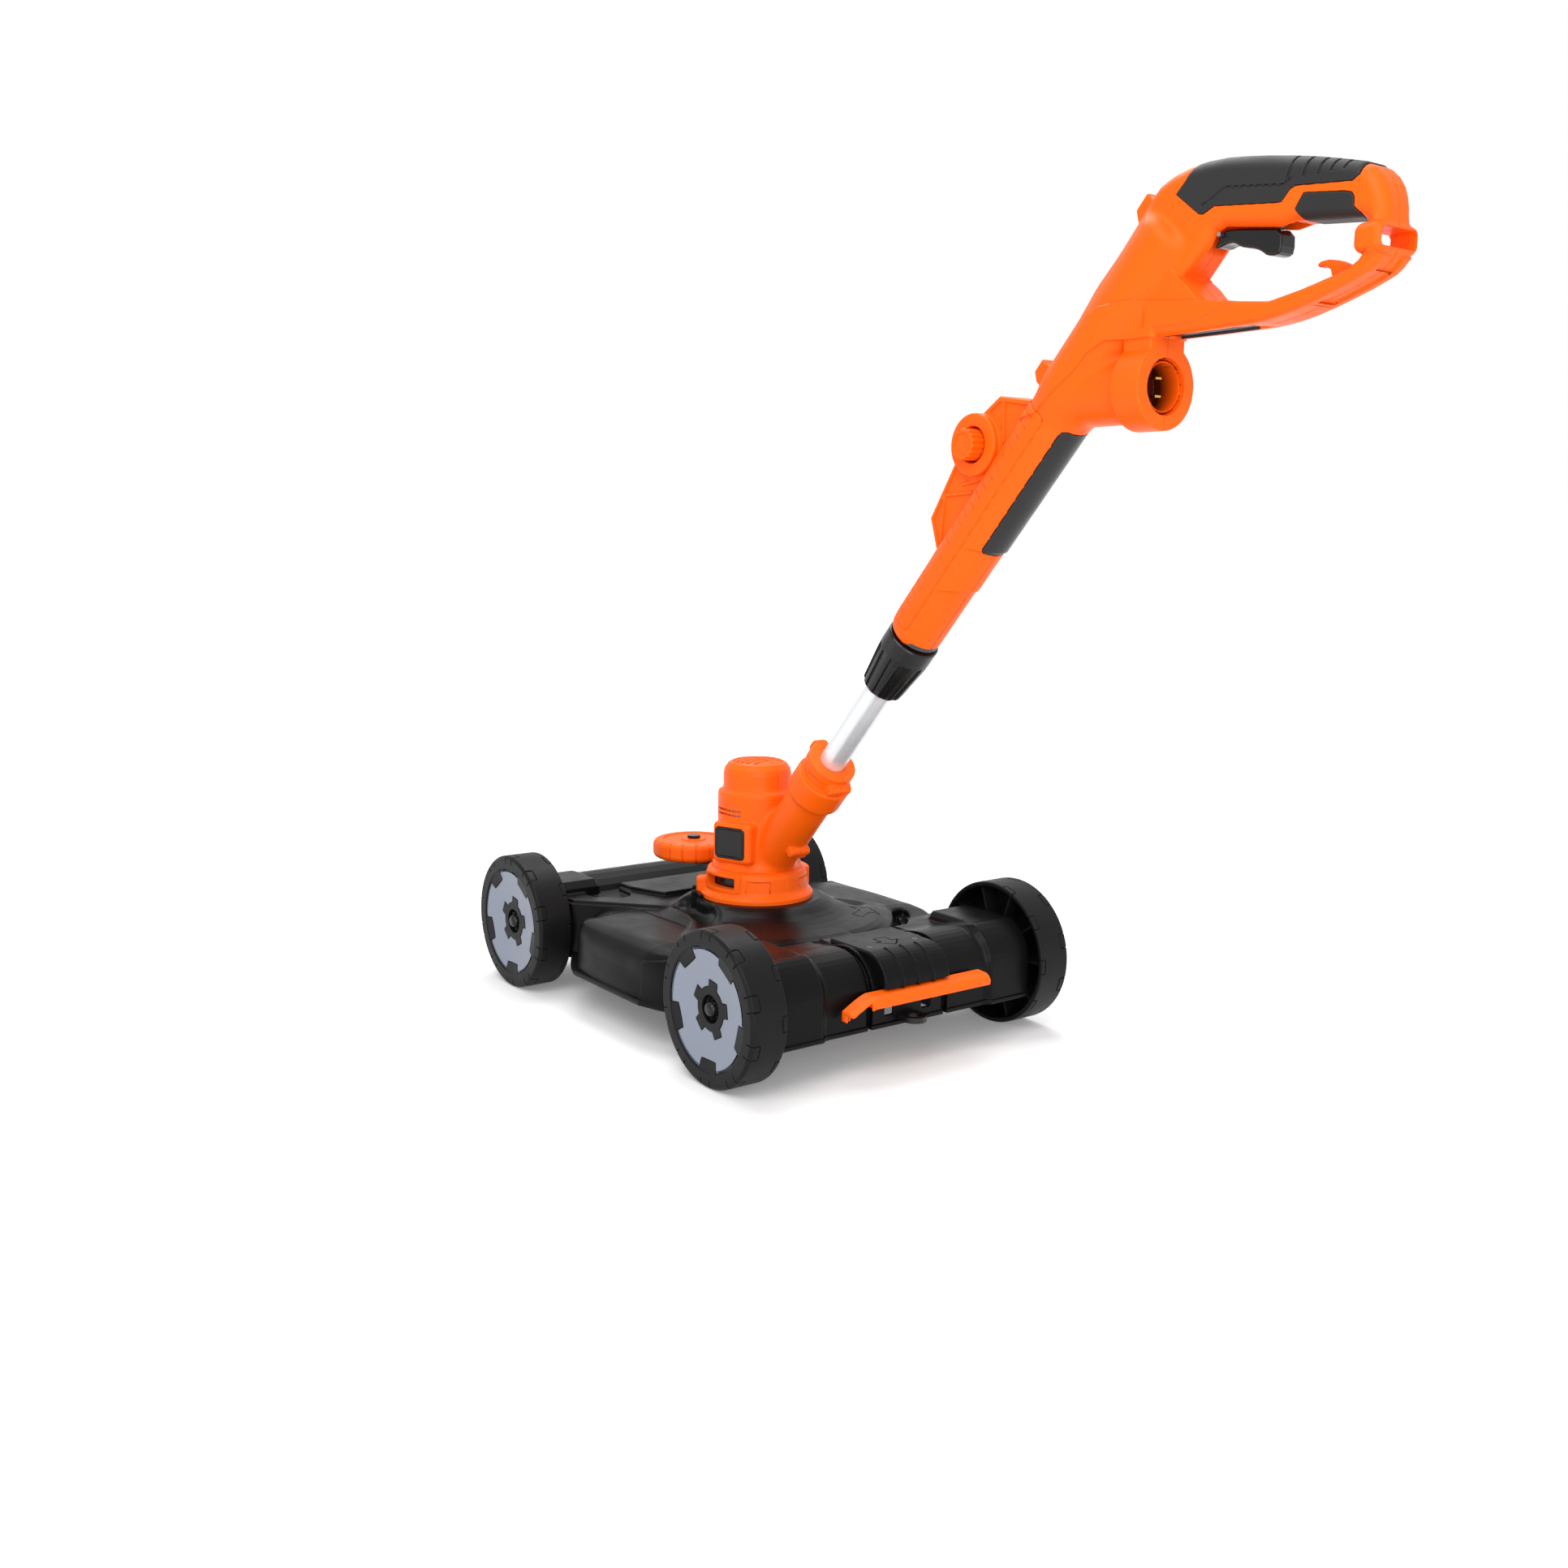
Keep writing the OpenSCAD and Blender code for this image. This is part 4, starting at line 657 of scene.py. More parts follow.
# Wheels: u runs from the inner face out, v and w across the axle
TYRE_R, TYRE_W, TYRE_BORE_R = 70, 37, 5.05
WHEEL_IN = 151
WEB_U, WEB_OUT = 27, 30
RIM_IN, FACE_IN, WEB_R, SLEEVE_OUT, HUB_FACE = 65, 55.7, 67, 13, 31.9
TREAD_ROWS, TREAD_HALF, TREAD_IN = ((0, 27.5, 60), (0.5, -30, 5.5)), 7, 63
SPOKES = 10
NOTCH_R, NOTCH_HALF = 45, 11
LOBE_R, LOBE_HALF, STAR_R = 25.9, 6.4, 19.8
NOTCHES = [math.radians(a) for a in range(56, 360, 72)]
LOBES = [math.radians(a) for a in range(9, 360, 72)]
DISC_R, DISC_GAP = 55.3, 0.35


def star(v, w, grow):
    """The lobed middle of a wheel."""
    low, high = (0, -LOBE_HALF - grow), (LOBE_R + grow, LOBE_HALF + grow)
    lobes = [rect(*turned(v, w, angle), low, high, 1.2) for angle in LOBES]
    return join(np.hypot(v, w) - STAR_R - grow, *lobes)


def notches(v, w, grow):
    """The blocks of the tyre that reach into the disc's rim."""
    def notch(angle):
        out, side = turned(v, w, angle)
        return share(NOTCH_R - grow - out, abs(side) - (NOTCH_HALF + grow + 0.24 * (out - NOTCH_R)))
    return join(*(notch(angle) for angle in NOTCHES))


def dish(r):
    """Height of the disc's face, which falls from the rim to the hub."""
    return 31.6 + 4.6 * ramp(r, 24, 31.5) ** 1.2


def tread(f, turn, u, r):
    """The tyre with two rows of marks round its tread."""
    for phase, near, far in TREAD_ROWS:
        along = spaced(turn, SPOKES, phase) * TYRE_R
        mark = abs(rect(along, u, (-TREAD_HALF, near), (TREAD_HALF, far), 1.5))
        f = carve(f, share(mark, TREAD_IN - r), 0.5, 0.9)
    return f


def tyre(u, v, w):
    r, turn = np.hypot(v, w), np.arctan2(w, v)
    f = rounded(share(r - TYRE_R, RIM_IN - r), slab(u, 0, TYRE_W), 1.8)
    face = rounded(share(r - 69.8, FACE_IN - r), slab(u, WEB_U, TYRE_W), 1.2)
    edge = (r - TYRE_R + u - TYRE_W) * DIAGONAL + 1.7
    f, face = soft_share(f, edge, 0.6), soft_share(face, edge, 0.6)
    web = share(r - WEB_R, slab(u, WEB_U, WEB_OUT))
    blocks = share(notches(v, w, 0), r - 56.5, WEB_U - u, u - dish(r) - 0.1)
    hub = rounded(star(v, w, 0), slab(u, WEB_U, HUB_FACE), 0.7)
    sleeve = share(r - SLEEVE_OUT, slab(u, 3, 28))
    spoke = abs(spaced(turn, SPOKES)) * r - 1
    spokes = share(spoke, slab(u, 6, 28), r - 66.5, 8 - r)
    f = join(f, face, web, blocks, hub, sleeve, spokes)
    f = cut(f, r - 21, u - 13.3)
    f = cut(f, rounded(r - 12.6, 25 - u, 0.5))
    return tread(share(f, TYRE_BORE_R - r), turn, u, r)


def wheel_disc(u, v, w):
    r = np.hypot(v, w)
    f = share(r - DISC_R, -star(v, w, DISC_GAP), -notches(v, w, DISC_GAP))
    return rounded(f, share(WEB_OUT - u, u - dish(r)), 0.5)


# Head: s runs up the shaft and n square to it in the middle plane
TILT, SHAFT_Z = math.radians(48), 130
FACE_TURN, WINDOW_TURN, PANEL_TURN, LINES_TURN = (math.radians(a) for a in (18, 10, 56, 4))
BASE_Z, BASE_TOP = 112.3, 143.3
BASE = [(0, BASE_Z), (57.5, BASE_Z), (57.5, 116.5), (56.2, 118.6), (53.6, 121.2), (52.4, 124), (51.2, 137),
        (49.8, 141.2), (45.8, BASE_TOP), (0, BASE_TOP)]
CASE = [(0, BASE_TOP), (45.8, BASE_TOP), (45.2, 147), (42.6, 150.4), (40.6, 154), (40, 159), (40, 217.5),
        (39.2, 220.5), (36.4, 222.3), (35, 223.6), (34.5, 227), (34.5, 238), (33.2, 243.6), (29.6, 248.6),
        (24, 251.4), (17, 252.3), (0, 252.3)]
BOSSES = [(75, -25.5, 11.5), (167, -24, 13)]
NECK_LOW, NECK_R, CUP_R, FLANGE_R = 2.3, 22.6, 27.8, 24.5
VENT_PITCH, VENT_R = 6.4, 26
BADGE_HALF, BADGE_LOW, BADGE_TOP = 18.2, 156, 187.7
BADGE_GAP, BADGE_PAD = 0.2, ((20, -22, 151.3), (46.8, 24, 192.3))
BASE_LUG = ((30, -7, BASE_Z), (61.5, 7, 131))
WINDOW_SURROUND, WINDOW_HOLE = ((-26, 122.6), (23.5, 141.4)), ((-21, 126.8), (17.5, 138))
SIDE_PANEL_EDGE, SIDE_PANEL_LOW = ((-12, 100), (12, 134.5)), 123.5
SPIGOT_R, SPIGOT_BORE_R, SPIGOT_LEVELS = 46, 43, (82, 113)
NECK_SPAN, CUP_SPAN, FLANGE_SPAN = (20, 174), (135.5, 161.5), (170.5, 180.5)
FLANGE_EAR = ((-9, 0), (9, 28.5))
TOP_LINES = (199, 203.5)
MOTOR_ROOMS = ((37.5, (130, 219)), (30, (130, 230)))
TUBE_SEAT_R, TUBE_SEAT_LOW = 12.8, 112


def shaft(y, z):
    """Places along the shaft's axis and square to it."""
    return (y * math.cos(TILT) + (z - SHAFT_Z) * math.sin(TILT),
            -y * math.sin(TILT) + (z - SHAFT_Z) * math.cos(TILT))


def head_base(x, y, z):
    r = np.hypot(x, y)
    out, side = turned(x, y, LOCK_TURN)
    f = fuse(poly(r, z, BASE), box(out, side, z, *BASE_LUG, 4), 2)
    for _, flip in HANDS:
        o, s = turned(flip * x, y, WINDOW_TURN)
        surround = share(rect(s, z, *WINDOW_SURROUND, 3), 20 - o)
        f = fuse(f, rounded(surround, r - 53.6, 1), 1)
        f = cut(f, rect(s, z, *WINDOW_HOLE, 1), 30 - o)
        o, s = turned(flip * x, y, PANEL_TURN)
        panel = share(abs(rect(s, z, *SIDE_PANEL_EDGE, 1)), SIDE_PANEL_LOW - z)
        f = carve(f, only(panel, o > 0), 0.45, 0.7)
    f = carve(f, abs(x), 0.25, 0.5)
    f = join(f, share(r - SPIGOT_R, slab(z, *SPIGOT_LEVELS)))
    f = cut(f, r - SPIGOT_BORE_R, z - 116.3)
    return cut(f, r - 44, 124.3 - z)


def window_lining(x, y, z):
    """Dark backs of the two windows in the base."""
    out, side = turned(abs(x), y, WINDOW_TURN)
    wall = abs(np.hypot(x, y) - 42) - 1.4
    return share(wall, slab(z, 124.6, 142), slab(side, -25, 21), -out)


def neck(x, y, z):
    """The slanted neck, its cup and the flange that grips the tube."""
    s, n = shaft(y, z)
    q, low_q = np.hypot(x, n), np.hypot(x, n + NECK_LOW)
    tube = share(join(low_q - NECK_R, share(q - 21.5, 140 - s)), slab(s, *NECK_SPAN), 146 - z)
    cup = rounded(low_q - CUP_R, slab(s, *CUP_SPAN), 2.5)
    ears = join(q - FLANGE_R, rect(x, n, *FLANGE_EAR, 4))
    return tube, cup, rounded(ears, slab(s, *FLANGE_SPAN), 2)


def head_case(x, y, z):
    r = np.hypot(x, y)
    s, n = shaft(y, z)
    f = poly(r, z, CASE)
    for part, fillet in zip(neck(x, y, z), (7, 1.5, 1)):
        f = fuse(f, part, fillet)
    for bs, bn, half in BOSSES:
        f = fuse(f, rod(s, n, x, (bs, bn), 5, -half, half, 1.6), 2)
    for _, flip in HANDS:
        o, t = turned(flip * x, y, FACE_TURN)
        f = fuse(f, box(o, t, z, *BADGE_PAD, 5), 3)
        seat = rect(t, z, (-BADGE_HALF, BADGE_LOW), (BADGE_HALF, BADGE_TOP), 5)
        f = cut(f, seat, 45.2 - o)
        o, t = turned(flip * x, y, LINES_TURN)
        for level in TOP_LINES:
            f = carve(f, only(share(abs(z - level), abs(t) - 16), o > 0), 0.7, 2.2)
    slits = abs((y + 0.5 * VENT_PITCH) % VENT_PITCH - 0.5 * VENT_PITCH)
    ends = abs(x) - np.sqrt(np.maximum(VENT_R ** 2 - y * y, 0)) + 2
    f = carve(f, only(share(slits, abs(y) - 21, ends), z > 240), 1.3, 3)
    for room_r, levels in MOTOR_ROOMS:
        f = cut(f, r - room_r, slab(z, *levels))
    return cut(f, np.hypot(x, n) - TUBE_SEAT_R, TUBE_SEAT_LOW - s)


def case_screws(x, y, z):
    s, n = shaft(y, z)

    def screw(bs, bn, half):
        stem = rod(s, n, x, (bs, bn), 1.7, -half, half - 3, 0.3)
        head = rod(s, n, x, (bs, bn), 3.1, -half - 0.9, 2 - half, 0.5)
        cross = join(abs(s - bs), abs(n - bn)) - 0.4
        return join(stem, cut(head, cross, x + half - 0.1))

    return join(*(screw(*boss) for boss in BOSSES))


def badge_plates(x, y, z):
    """A bare plate in the seat on each side."""
    half = BADGE_HALF - BADGE_GAP

    def plate(flip):
        o, t = turned(flip * x, y, FACE_TURN)
        plan = rect(t, z, (-half, BADGE_LOW + BADGE_GAP), (half, BADGE_TOP - BADGE_GAP), 5 - BADGE_GAP)
        return carve(rounded(plan, slab(o, 44, 46.9), 0.4), abs(plan + 2.2), 0.35, 0.3)

    return join(*(plate(flip) for _, flip in HANDS))


# Edge guide wheel
ROLLER_Y, ROLLER_R, ROLLER_MARKS = -116, 44, 18
ROLLER_LOW, ROLLER_TOP = 131.7, 151.2


def guide_roller(x, y, z):
    q = np.hypot(x, y - ROLLER_Y)
    f = rounded(q - ROLLER_R, slab(z, ROLLER_LOW, ROLLER_TOP), 6)
    f = cut(f, rounded(share(q - 33, 13 - q), slab(z, 150, 160), 0.6))
    f = join(f, rounded(q - 9, slab(z, 140, 151.4), 0.8))
    along = spaced(np.arctan2(y - ROLLER_Y, x), ROLLER_MARKS) * ROLLER_R
    f = carve(f, only(abs(along), q > 38), 0.8, 1.1)
    return share(f, 5.05 - q)


# Twist collar on the tube
COLLAR = [(283.7, 0), (283.7, 17.2), (284.6, 18.6), (286.5, 19.8), (300, 21.2), (318, 23.2), (328.5, 24),
          (345.4, 24), (346.7, 22.8), (346.7, 0)]
COLLAR_GROOVES = 12


def twist_collar(x, y, z):
    s, n = shaft(y, z)
    q = np.hypot(x, n)
    along = spaced(np.arctan2(x, n), COLLAR_GROOVES) * q
    wide = 2.3 + 1.5 * ramp(s, 284, 40)
    face = 19.6 + 4.4 * ramp(s, 286, 42)
    groove = rounded(abs(along) - wide, face - 1.8 - q, 1)
    f = soft_cut(poly(s, q, COLLAR), share(groove, s - 329), 0.9)
    return cut(share(f, 13 - q), q - 17.1, 289.7 - s)


# Handle: its loop's outline is in shares of the loop's length and height
LOOP_Y, LOOP_Z, LOOP_LENGTH, LOOP_HEIGHT = 430, 617, 240, 111
LOOP_SHARES = [(0, 0), (0, 0.25), (0.188, 0.703), (0.233, 0.896), (0.325, 0.982), (0.45, 1), (0.571, 0.968),
               (0.738, 0.901), (0.858, 0.835), (0.93, 0.79), (0.972, 0.70), (0.99, 0.58), (0.992, 0.46),
               (0.992, 0.297), (0.963, 0.221), (0.921, 0.18), (0.867, 0.135), (0.75, 0.054), (0.658, 0.014),
               (0.571, 0)]
LOOP = smooth([(LOOP_Y + u * LOOP_LENGTH, LOOP_Z + v * LOOP_HEIGHT) for u, v in LOOP_SHARES])
OPENING = [(515, 653), (535, 672), (540, 680), (547, 682.5), (590, 676), (602, 678), (650, 673), (654, 670),
           (656, 665), (656, 652), (653, 646.5), (648, 643), (610, 633.5), (592, 629.5), (586, 629.5),
           (538, 634.5)]
TOP_GRIP = [(508, 709), (516, 717), (528, 735), (600, 740), (653, 735), (651, 704), (649.5, 697.5),
            (645, 694.5), (604, 698.5), (600, 697), (594, 690), (592, 690), (541, 696), (532, 692),
            (528, 693)]
GRIP_CREASE = [(531, 698), (539, 701.6), (549, 706.8), (595, 700.6), (601, 704)]
GRIP_LINES = (600, 612, 623, 632, 641)
GRIP_DEPTH, GRIP_SEAT = 2.3, 2.4
ARM = [(372, 566), (430, 622), (440, 635), (450, 639.5), (480, 641.5), (540, 635), (588, 628.5), (640, 638),
       (662, 652), (680, 640), (640, 600), (549, 610), (492, 615), (456.6, 615.5), (442.7, 608.3),
       (428.8, 595.4), (391, 569)]
LOW_PAD = [(604, 684), (610, 693.5), (640, 689.5), (645, 688), (647, 685), (647, 679), (653, 672), (650, 668),
           (633, 666), (612, 671), (606, 681)]
HOOK = [(614.5, 649.5), (617, 651.5), (622.7, 652), (630, 650.5), (640, 646), (648, 640), (630, 636),
        (625.8, 641.2), (624.5, 645.5), (621, 647.8), (616, 648)]
GUSSET = [(488, 640), (500, 659), (508, 659), (518, 652), (533, 636), (560, 632), (530, 622), (488, 622)]
LUGS = ((597.8, 616), (737.5, 758))
LUG_SHOULDER, LUG_TOP, LUG_HALF = 28, 34.8, 14
BARREL_R, BARREL_LOW, BARREL_TOP = 25, 347, 752
BARREL_GROW, BARREL_STEP = 3, 1.4
INLET_Z, INLET_LOW, INLET_END = 582, 468.5, 494
INLET_WEB = ((-18.5, INLET_LOW, 590), (18.5, INLET_END, 622))
CORD_RING = ((-22.5, 650, 649.5), (22.5, 670, 668))
RING_HOLE = ((-18.7, 640, 653), (18.7, 690, 664.5))
TRIGGER_SLOT = ((-8.4, 530, 648), (8.4, 600, 690))
STRIP, DASH_ROWS = ((362, -6), (588, 17)), ((366, 418), (452, 584))
LABEL_BELOW, LABEL_ABOVE = ((464, -14.7), (590, 14.7)), ((360, -12.5), (412, 12.5))
LABEL_ARM = ((497, -11), (565, 11))
SEAM = 0.12


def handle_barrel(x, y, z):
    """The round body on the shaft, stepped down below and wider at its top."""
    s, n = shaft(y, z)
    under = ramp(-n, 8, 6)
    slim = ramp(406 - 0.75 * n - s, 0, 1.6) + ramp(456 - 0.5 * n - s, 0, 1.6)
    grow = BARREL_GROW * ramp(s, 588, 22)
    wall = np.hypot(x, n) - BARREL_R - grow + BARREL_STEP * under * slim
    return rounded(wall, slab(s, BARREL_LOW, BARREL_TOP), 9)


def inlet_housing(f, x, y, z):
    """The handle with the fairing, band and web that carry the inlet."""
    n = shaft(y, z)[1]
    q = np.hypot(x, z - INLET_Z)
    fairing = share(rounded(q - BARREL_R, slab(y, 392, 472), 3), n + 2)
    band = rounded(q - 31, slab(y, INLET_LOW, INLET_END), 1.4)
    web = box(x, y, z, *INLET_WEB, 1.4)
    return fuse(fuse(f, fairing, 5), join(band, web), 1.5)


def handle_outside(x, y, z):
    a = abs(x)
    s, n = shaft(y, z)
    opening = poly(y, z, OPENING)
    loop = cut(poly(y, z, LOOP), opening)
    loop = rounded(loop, a - 17, 3.5 + 6 * ramp(z, 652, 22))
    f = fuse(handle_barrel(x, y, z), loop, 6)
    gusset = rounded(poly(y, z, GUSSET), a - 19, 1.5)
    f = fuse(f, cut(gusset, opening), 1.5)
    f = inlet_housing(f, x, y, z)
    f = fuse(f, box(x, y, z, *CORD_RING, 6), 2.5)
    f = fuse(f, rounded(poly(y, z, HOOK), a - 4.5, 1.6), 2)
    for low, high in LUGS:
        side = [(low, 0), (low, LUG_SHOULDER), (low + 4.5, LUG_TOP), (high - 2, LUG_TOP), (high, 0)]
        f = fuse(f, rounded(poly(s, n, side), a - LUG_HALF, 1.5), 2)
    return raise_on(f, only(poly(y, z, ARM), a > 9), 1.6, 0.7)


def barrel_marks(f, x, y, z):
    """The handle with a raised strip and a row of dashes on both sides of the barrel."""
    s, n = shaft(y, z)
    on_side = abs(x) > 14
    strip = only(rect(s, n, *STRIP, 4), on_side)
    f = raise_on(f, strip, 0.9, 0.7)
    f = carve(f, abs(strip - 0.7), 0.5, 0.5)
    dash = abs((s + 3) % 10 - 5)
    rows = join(*(slab(s, *row) for row in DASH_ROWS))
    return carve(f, only(share(dash, slab(n, 3, 13.5), rows), on_side), 0.6, 0.6)


def label_plan(x, y, z):
    """Where plain dark plates lie on the barrel's two faces and under the lower arm."""
    s, n = shaft(y, z)
    below = share(rect(s, x, *LABEL_BELOW, 4), n)
    above = share(rect(s, x, *LABEL_ABOVE, 4), -n)
    arm = share(rect(y, x, *LABEL_ARM, 4), slab(z, 612, 624))
    return join(below, above, arm)


def bare_labels(x, y, z):
    f = handle_outside(x, y, z)
    return rounded(label_plan(x, y, z) + 0.2, share(f - 0.1, -1.6 - f), 0.3)


def handle(x, y, z):
    s, n = shaft(y, z)
    q = np.hypot(x, n)
    outside = handle_outside(x, y, z)
    pads = join(poly(y, z, TOP_GRIP), poly(y, z, LOW_PAD))
    f = cut(barrel_marks(outside, x, y, z), pads)
    f = join(f, share(outside + GRIP_SEAT, pads))
    f = carve(f, label_plan(x, y, z), 0, 1.1)
    f = cut(f, q - np.where(s < 480, 19.2, 22), slab(s, 350, 700))
    f = cut(f, q - 17.1, slab(s, 340, 352))
    f = cut(f, rounded(np.hypot(x, z - INLET_Z) - 20.3, 466 - y, 0.5))
    f = cut(f, box(x, y, z, *RING_HOLE, 3))
    return cut(f, box(x, y, z, *TRIGGER_SLOT, 0.5))


def top_grip(x, y, z):
    outside = handle_outside(x, y, z)
    f = rounded(outside - 0.5, poly(y, z, TOP_GRIP) + 0.3, 0.8)
    for at in GRIP_LINES:
        f = carve(f, only(abs(y - at - (z - 712) * 0.3), z > 703), 0.9, 1.2)
    f = carve(f, path(y, z, GRIP_CREASE), 0.6, 0.7)
    return cut(f, outside + GRIP_DEPTH)


def low_pad(x, y, z):
    outside = handle_outside(x, y, z)
    f = rounded(outside - 0.4, poly(y, z, LOW_PAD) + 0.3, 0.8)
    return cut(f, outside + GRIP_DEPTH)


# Trigger, with a pocket for its spring and a bore for its pin
TRIGGER = smooth([(535.4, 671), (542.4, 680.5), (546.4, 681.5), (574, 677.8), (588.8, 675.6), (589.4, 661.5),
                  (585, 659), (578, 660), (575, 662.5), (569, 665.8), (563, 667), (557, 668.4), (551.4, 672),
                  (545.4, 672), (538.4, 670)])
TRIGGER_HALF = 8
TRIGGER_PIN, TRIGGER_BORE_R = (543, 678), 1.55
SPRING_POCKET = ((-3.8, 578.8, 670.4), (3.8, 586.4, 690))


def trigger(x, y, z):
    f = rounded(poly(y, z, TRIGGER), abs(x) - TRIGGER_HALF, 1.6)
    f = cut(f, box(x, y, z, *SPRING_POCKET, 0.4))
    return share(f, TRIGGER_BORE_R - np.hypot(y - TRIGGER_PIN[0], z - TRIGGER_PIN[1]))


# Bracket and button of the second handle
BRACKET = [(430, 16), (432, 22), (445, 44), (500, 53.5), (548, 55), (567, 50), (588, 18), (588, 16)]
STRUTS = [[(440, 22), (470, 44)], [(470, 44), (492, 22)], [(505, 22), (490, 34)], [(545, 22), (570, 47)]]
BRACKET_HALF = 16
HUB_S, HUB_N, HUB_RING_R = 524, 42.5, 25
BUTTON_R, BUTTON_GROOVES, BUTTON_GROOVE_R = 12.6, 16, 1.4


def side_bracket(x, y, z):
    s, n = shaft(y, z)
    plan = poly(s, n, BRACKET)
    hub = np.hypot(s - HUB_S, n - HUB_N)
    f = rounded(plan, abs(x) - BRACKET_HALF, 2.2)
    struts = join(*(path(s, n, line) for line in STRUTS))
    f = carve(f, share(plan + 4, 28.5 - hub, 1.3 - struts), 0, 1.6)
    f = fuse(f, rounded(hub - HUB_RING_R, slab(x, -18, 22), 1.8), 1.5)
    f = share(f, BARREL_R + 0.2 - np.hypot(x, n))
    f = cut(f, hub - 14.7, 2 - x)
    return cut(f, hub - 5, x + 6)


def side_button(x, y, z):
    s, n = shaft(y, z)
    hub = np.hypot(s - HUB_S, n - HUB_N)
    along = spaced(np.arctan2(n - HUB_N, s - HUB_S), BUTTON_GROOVES) * 14
    f = rounded(hub - BUTTON_R, slab(x, 8, 33), 1.4)
    groove = share(np.hypot(along, hub - (BUTTON_R + 0.2)) - BUTTON_GROOVE_R, 12 - x)
    f = soft_cut(f, groove, 0.5)
    return cut(f, rounded(hub - 9, slab(x, 31.8, 40), 0.5))


# Inlet sleeve, with a ledge and a key inside
SLEEVE_R, SLEEVE_BORE_R = 20.2, 17.2


def inlet_sleeve(x, y, z):
    q = np.hypot(x, z - INLET_Z)
    f = rounded(q - SLEEVE_R, slab(y, 466.2, 491.5), 0.5)
    f = cut(f, rounded(q - SLEEVE_BORE_R, INLET_LOW - y, 0.5))
    key = share(abs(z - 579) - 1.2, x, 480 - y)
    return cut(f, 17.9 - q, 484 - y, -key, q - 19.6)


# Making the pieces
def shaped(name, field, low, high, step, keep, look, body, slot, *replaced, coarse=QUICK_COARSE):
    """A piece from a field between two corners."""
    mesh = field_mesh(name, field, low, high, step, keep)
    piece(name, mesh, MAT[look], body, slot, *replaced)


def halves(name, field, low, high, step, keep, body, node):
    """An orange moulding in two halves, with a fine seam in the middle plane."""
    for hand, side in HANDS:
        def half(x, y, z, side=side):
            return share(field(x, y, z), SEAM - side * x)
        near, far = (0, high[0]) if side > 0 else (low[0], 0)
        shaped(f"{name}_{hand}", half, (near, *low[1:]), (far, *high[1:]), step, keep,
               "orange", body, "orange_plastic", f"{node}_{hand}")


def wheels():
    tyre_mesh = field_mesh("tyre", tyre, (0, -TYRE_R, -TYRE_R), (TYRE_W, TYRE_R, TYRE_R), 0.8, 0.45)
    disc_mesh = field_mesh("wheel_disc", wheel_disc, (29, -57, -57), (34, 57, 57), 0.7, 0.45)
    for end, along in (("front", -1), ("rear", 1)):
        for hand, side in HANDS:
            name = f"{end}_{hand}"
            place = Matrix.Translation((side * WHEEL_IN * MM, along * AXLE_Y * MM, AXLE_Z * MM))
            if side < 0:
                place = place @ Matrix.Rotation(math.pi, 4, "Y")
            body, disc = "wheel_" + name, "disc_" + name
            piece("tyre_" + name, tyre_mesh, MAT["tyre"], body, "wheel_plastic", body, place=place)
            piece("face_" + disc, disc_mesh, MAT["disc"], body, "disc_plastic", disc, place=place)


shaped("deck_moulding", deck, (-190, -240, 39), (190, 240, 122), 1.3, 0.35,
       "deck", "deck", "deck_plastic", "deck_shell", coarse=1.3)
shaped("latch_cover_moulding", latch_cover, (-40, 166, 76), (40, 251, 111), 0.8, 0.5,
       "deck", "deck", "deck_plastic", "latch_cover")
shaped("pedal_bar", pedal, (-84, 194, 50), (84, 260, 90), 0.8, 0.5,
       "orange", "pedal", "orange_plastic", "pedal")
wheels()
shaped("head_base", head_base, (-66, -66, 81), (66, 66, 145), 0.9, 0.45,
       "orange", "trimmer", "orange_plastic", "docking_base")
halves("head_case", head_case, (-50, -50, 142), (50, 160, 300), 0.9, 0.45, "trimmer", "motor_housing")
shaped("window_lining", window_lining, (-45, -26, 124), (45, 38, 142), 0.9, 0.4,
       "gloss", "trimmer", "gloss_black", "docking_base")
shaped("case_screws", case_screws, (-15, 62, 166), (13, 138, 246), 0.5, 0.5,
       "steel", "trimmer", "steel", "housing_screws")
shaped("bare_plates", badge_plates, (-52, -8, 155), (52, 36, 189), 0.6, 0.4,
       "gloss", "trimmer", "gloss_black", "badge_plates")
shaped("lock_collar", twist_collar, (-25, 170, 320), (25, 254, 402), 0.7, 0.45,
       "gloss", "collar", "gloss_black", "twist_collar")
shaped("guide_roller", guide_roller, (-45, -161, 131), (45, -71, 152), 0.8, 0.45,
       "orange", "guide", "orange_plastic", "guide_wheel")
halves("handle_shell", handle, (-34, 212, 370), (34, 672, 730), 1.0, 0.4, "upper", "handle")
shaped("grip_overmould", top_grip, (-19, 504, 686), (19, 672, 732), 0.8, 0.45,
       "rubber", "upper", "grip_rubber", "top_grip")
shaped("grip_insert", low_pad, (-19, 600, 662), (19, 656, 696), 0.8, 0.45,
       "rubber", "upper", "grip_rubber", "grip_pad")
shaped("bare_labels", bare_labels, (-16, 225, 390), (16, 567, 620), 0.8, 0.4,
       "label", "upper", "gloss_black", "handle_left", "handle_right", coarse=1.0)
shaped("trigger_lever", trigger, (-9, 533, 657), (9, 598, 684), 0.6, 0.5,
       "gloss", "trigger", "gloss_black", "trigger")
shaped("side_bracket", side_bracket, (-19, 255, 455), (23, 390, 610), 0.8, 0.45,
       "orange", "upper", "orange_plastic", "handle_bracket")
shaped("side_button", side_button, (7, 300, 528), (34, 338, 568), 0.6, 0.5,
       "orange", "button", "orange_plastic", "bracket_button")
# The inlet sleeve takes the orange with painted shade deep inside it
shaped("inlet_sleeve", inlet_sleeve, (-21, 465, 561), (21, 492, 603), 0.6, 0.5,
       "painted_well_shade", "upper", "orange_plastic", "inlet_insert", coarse=1.0)

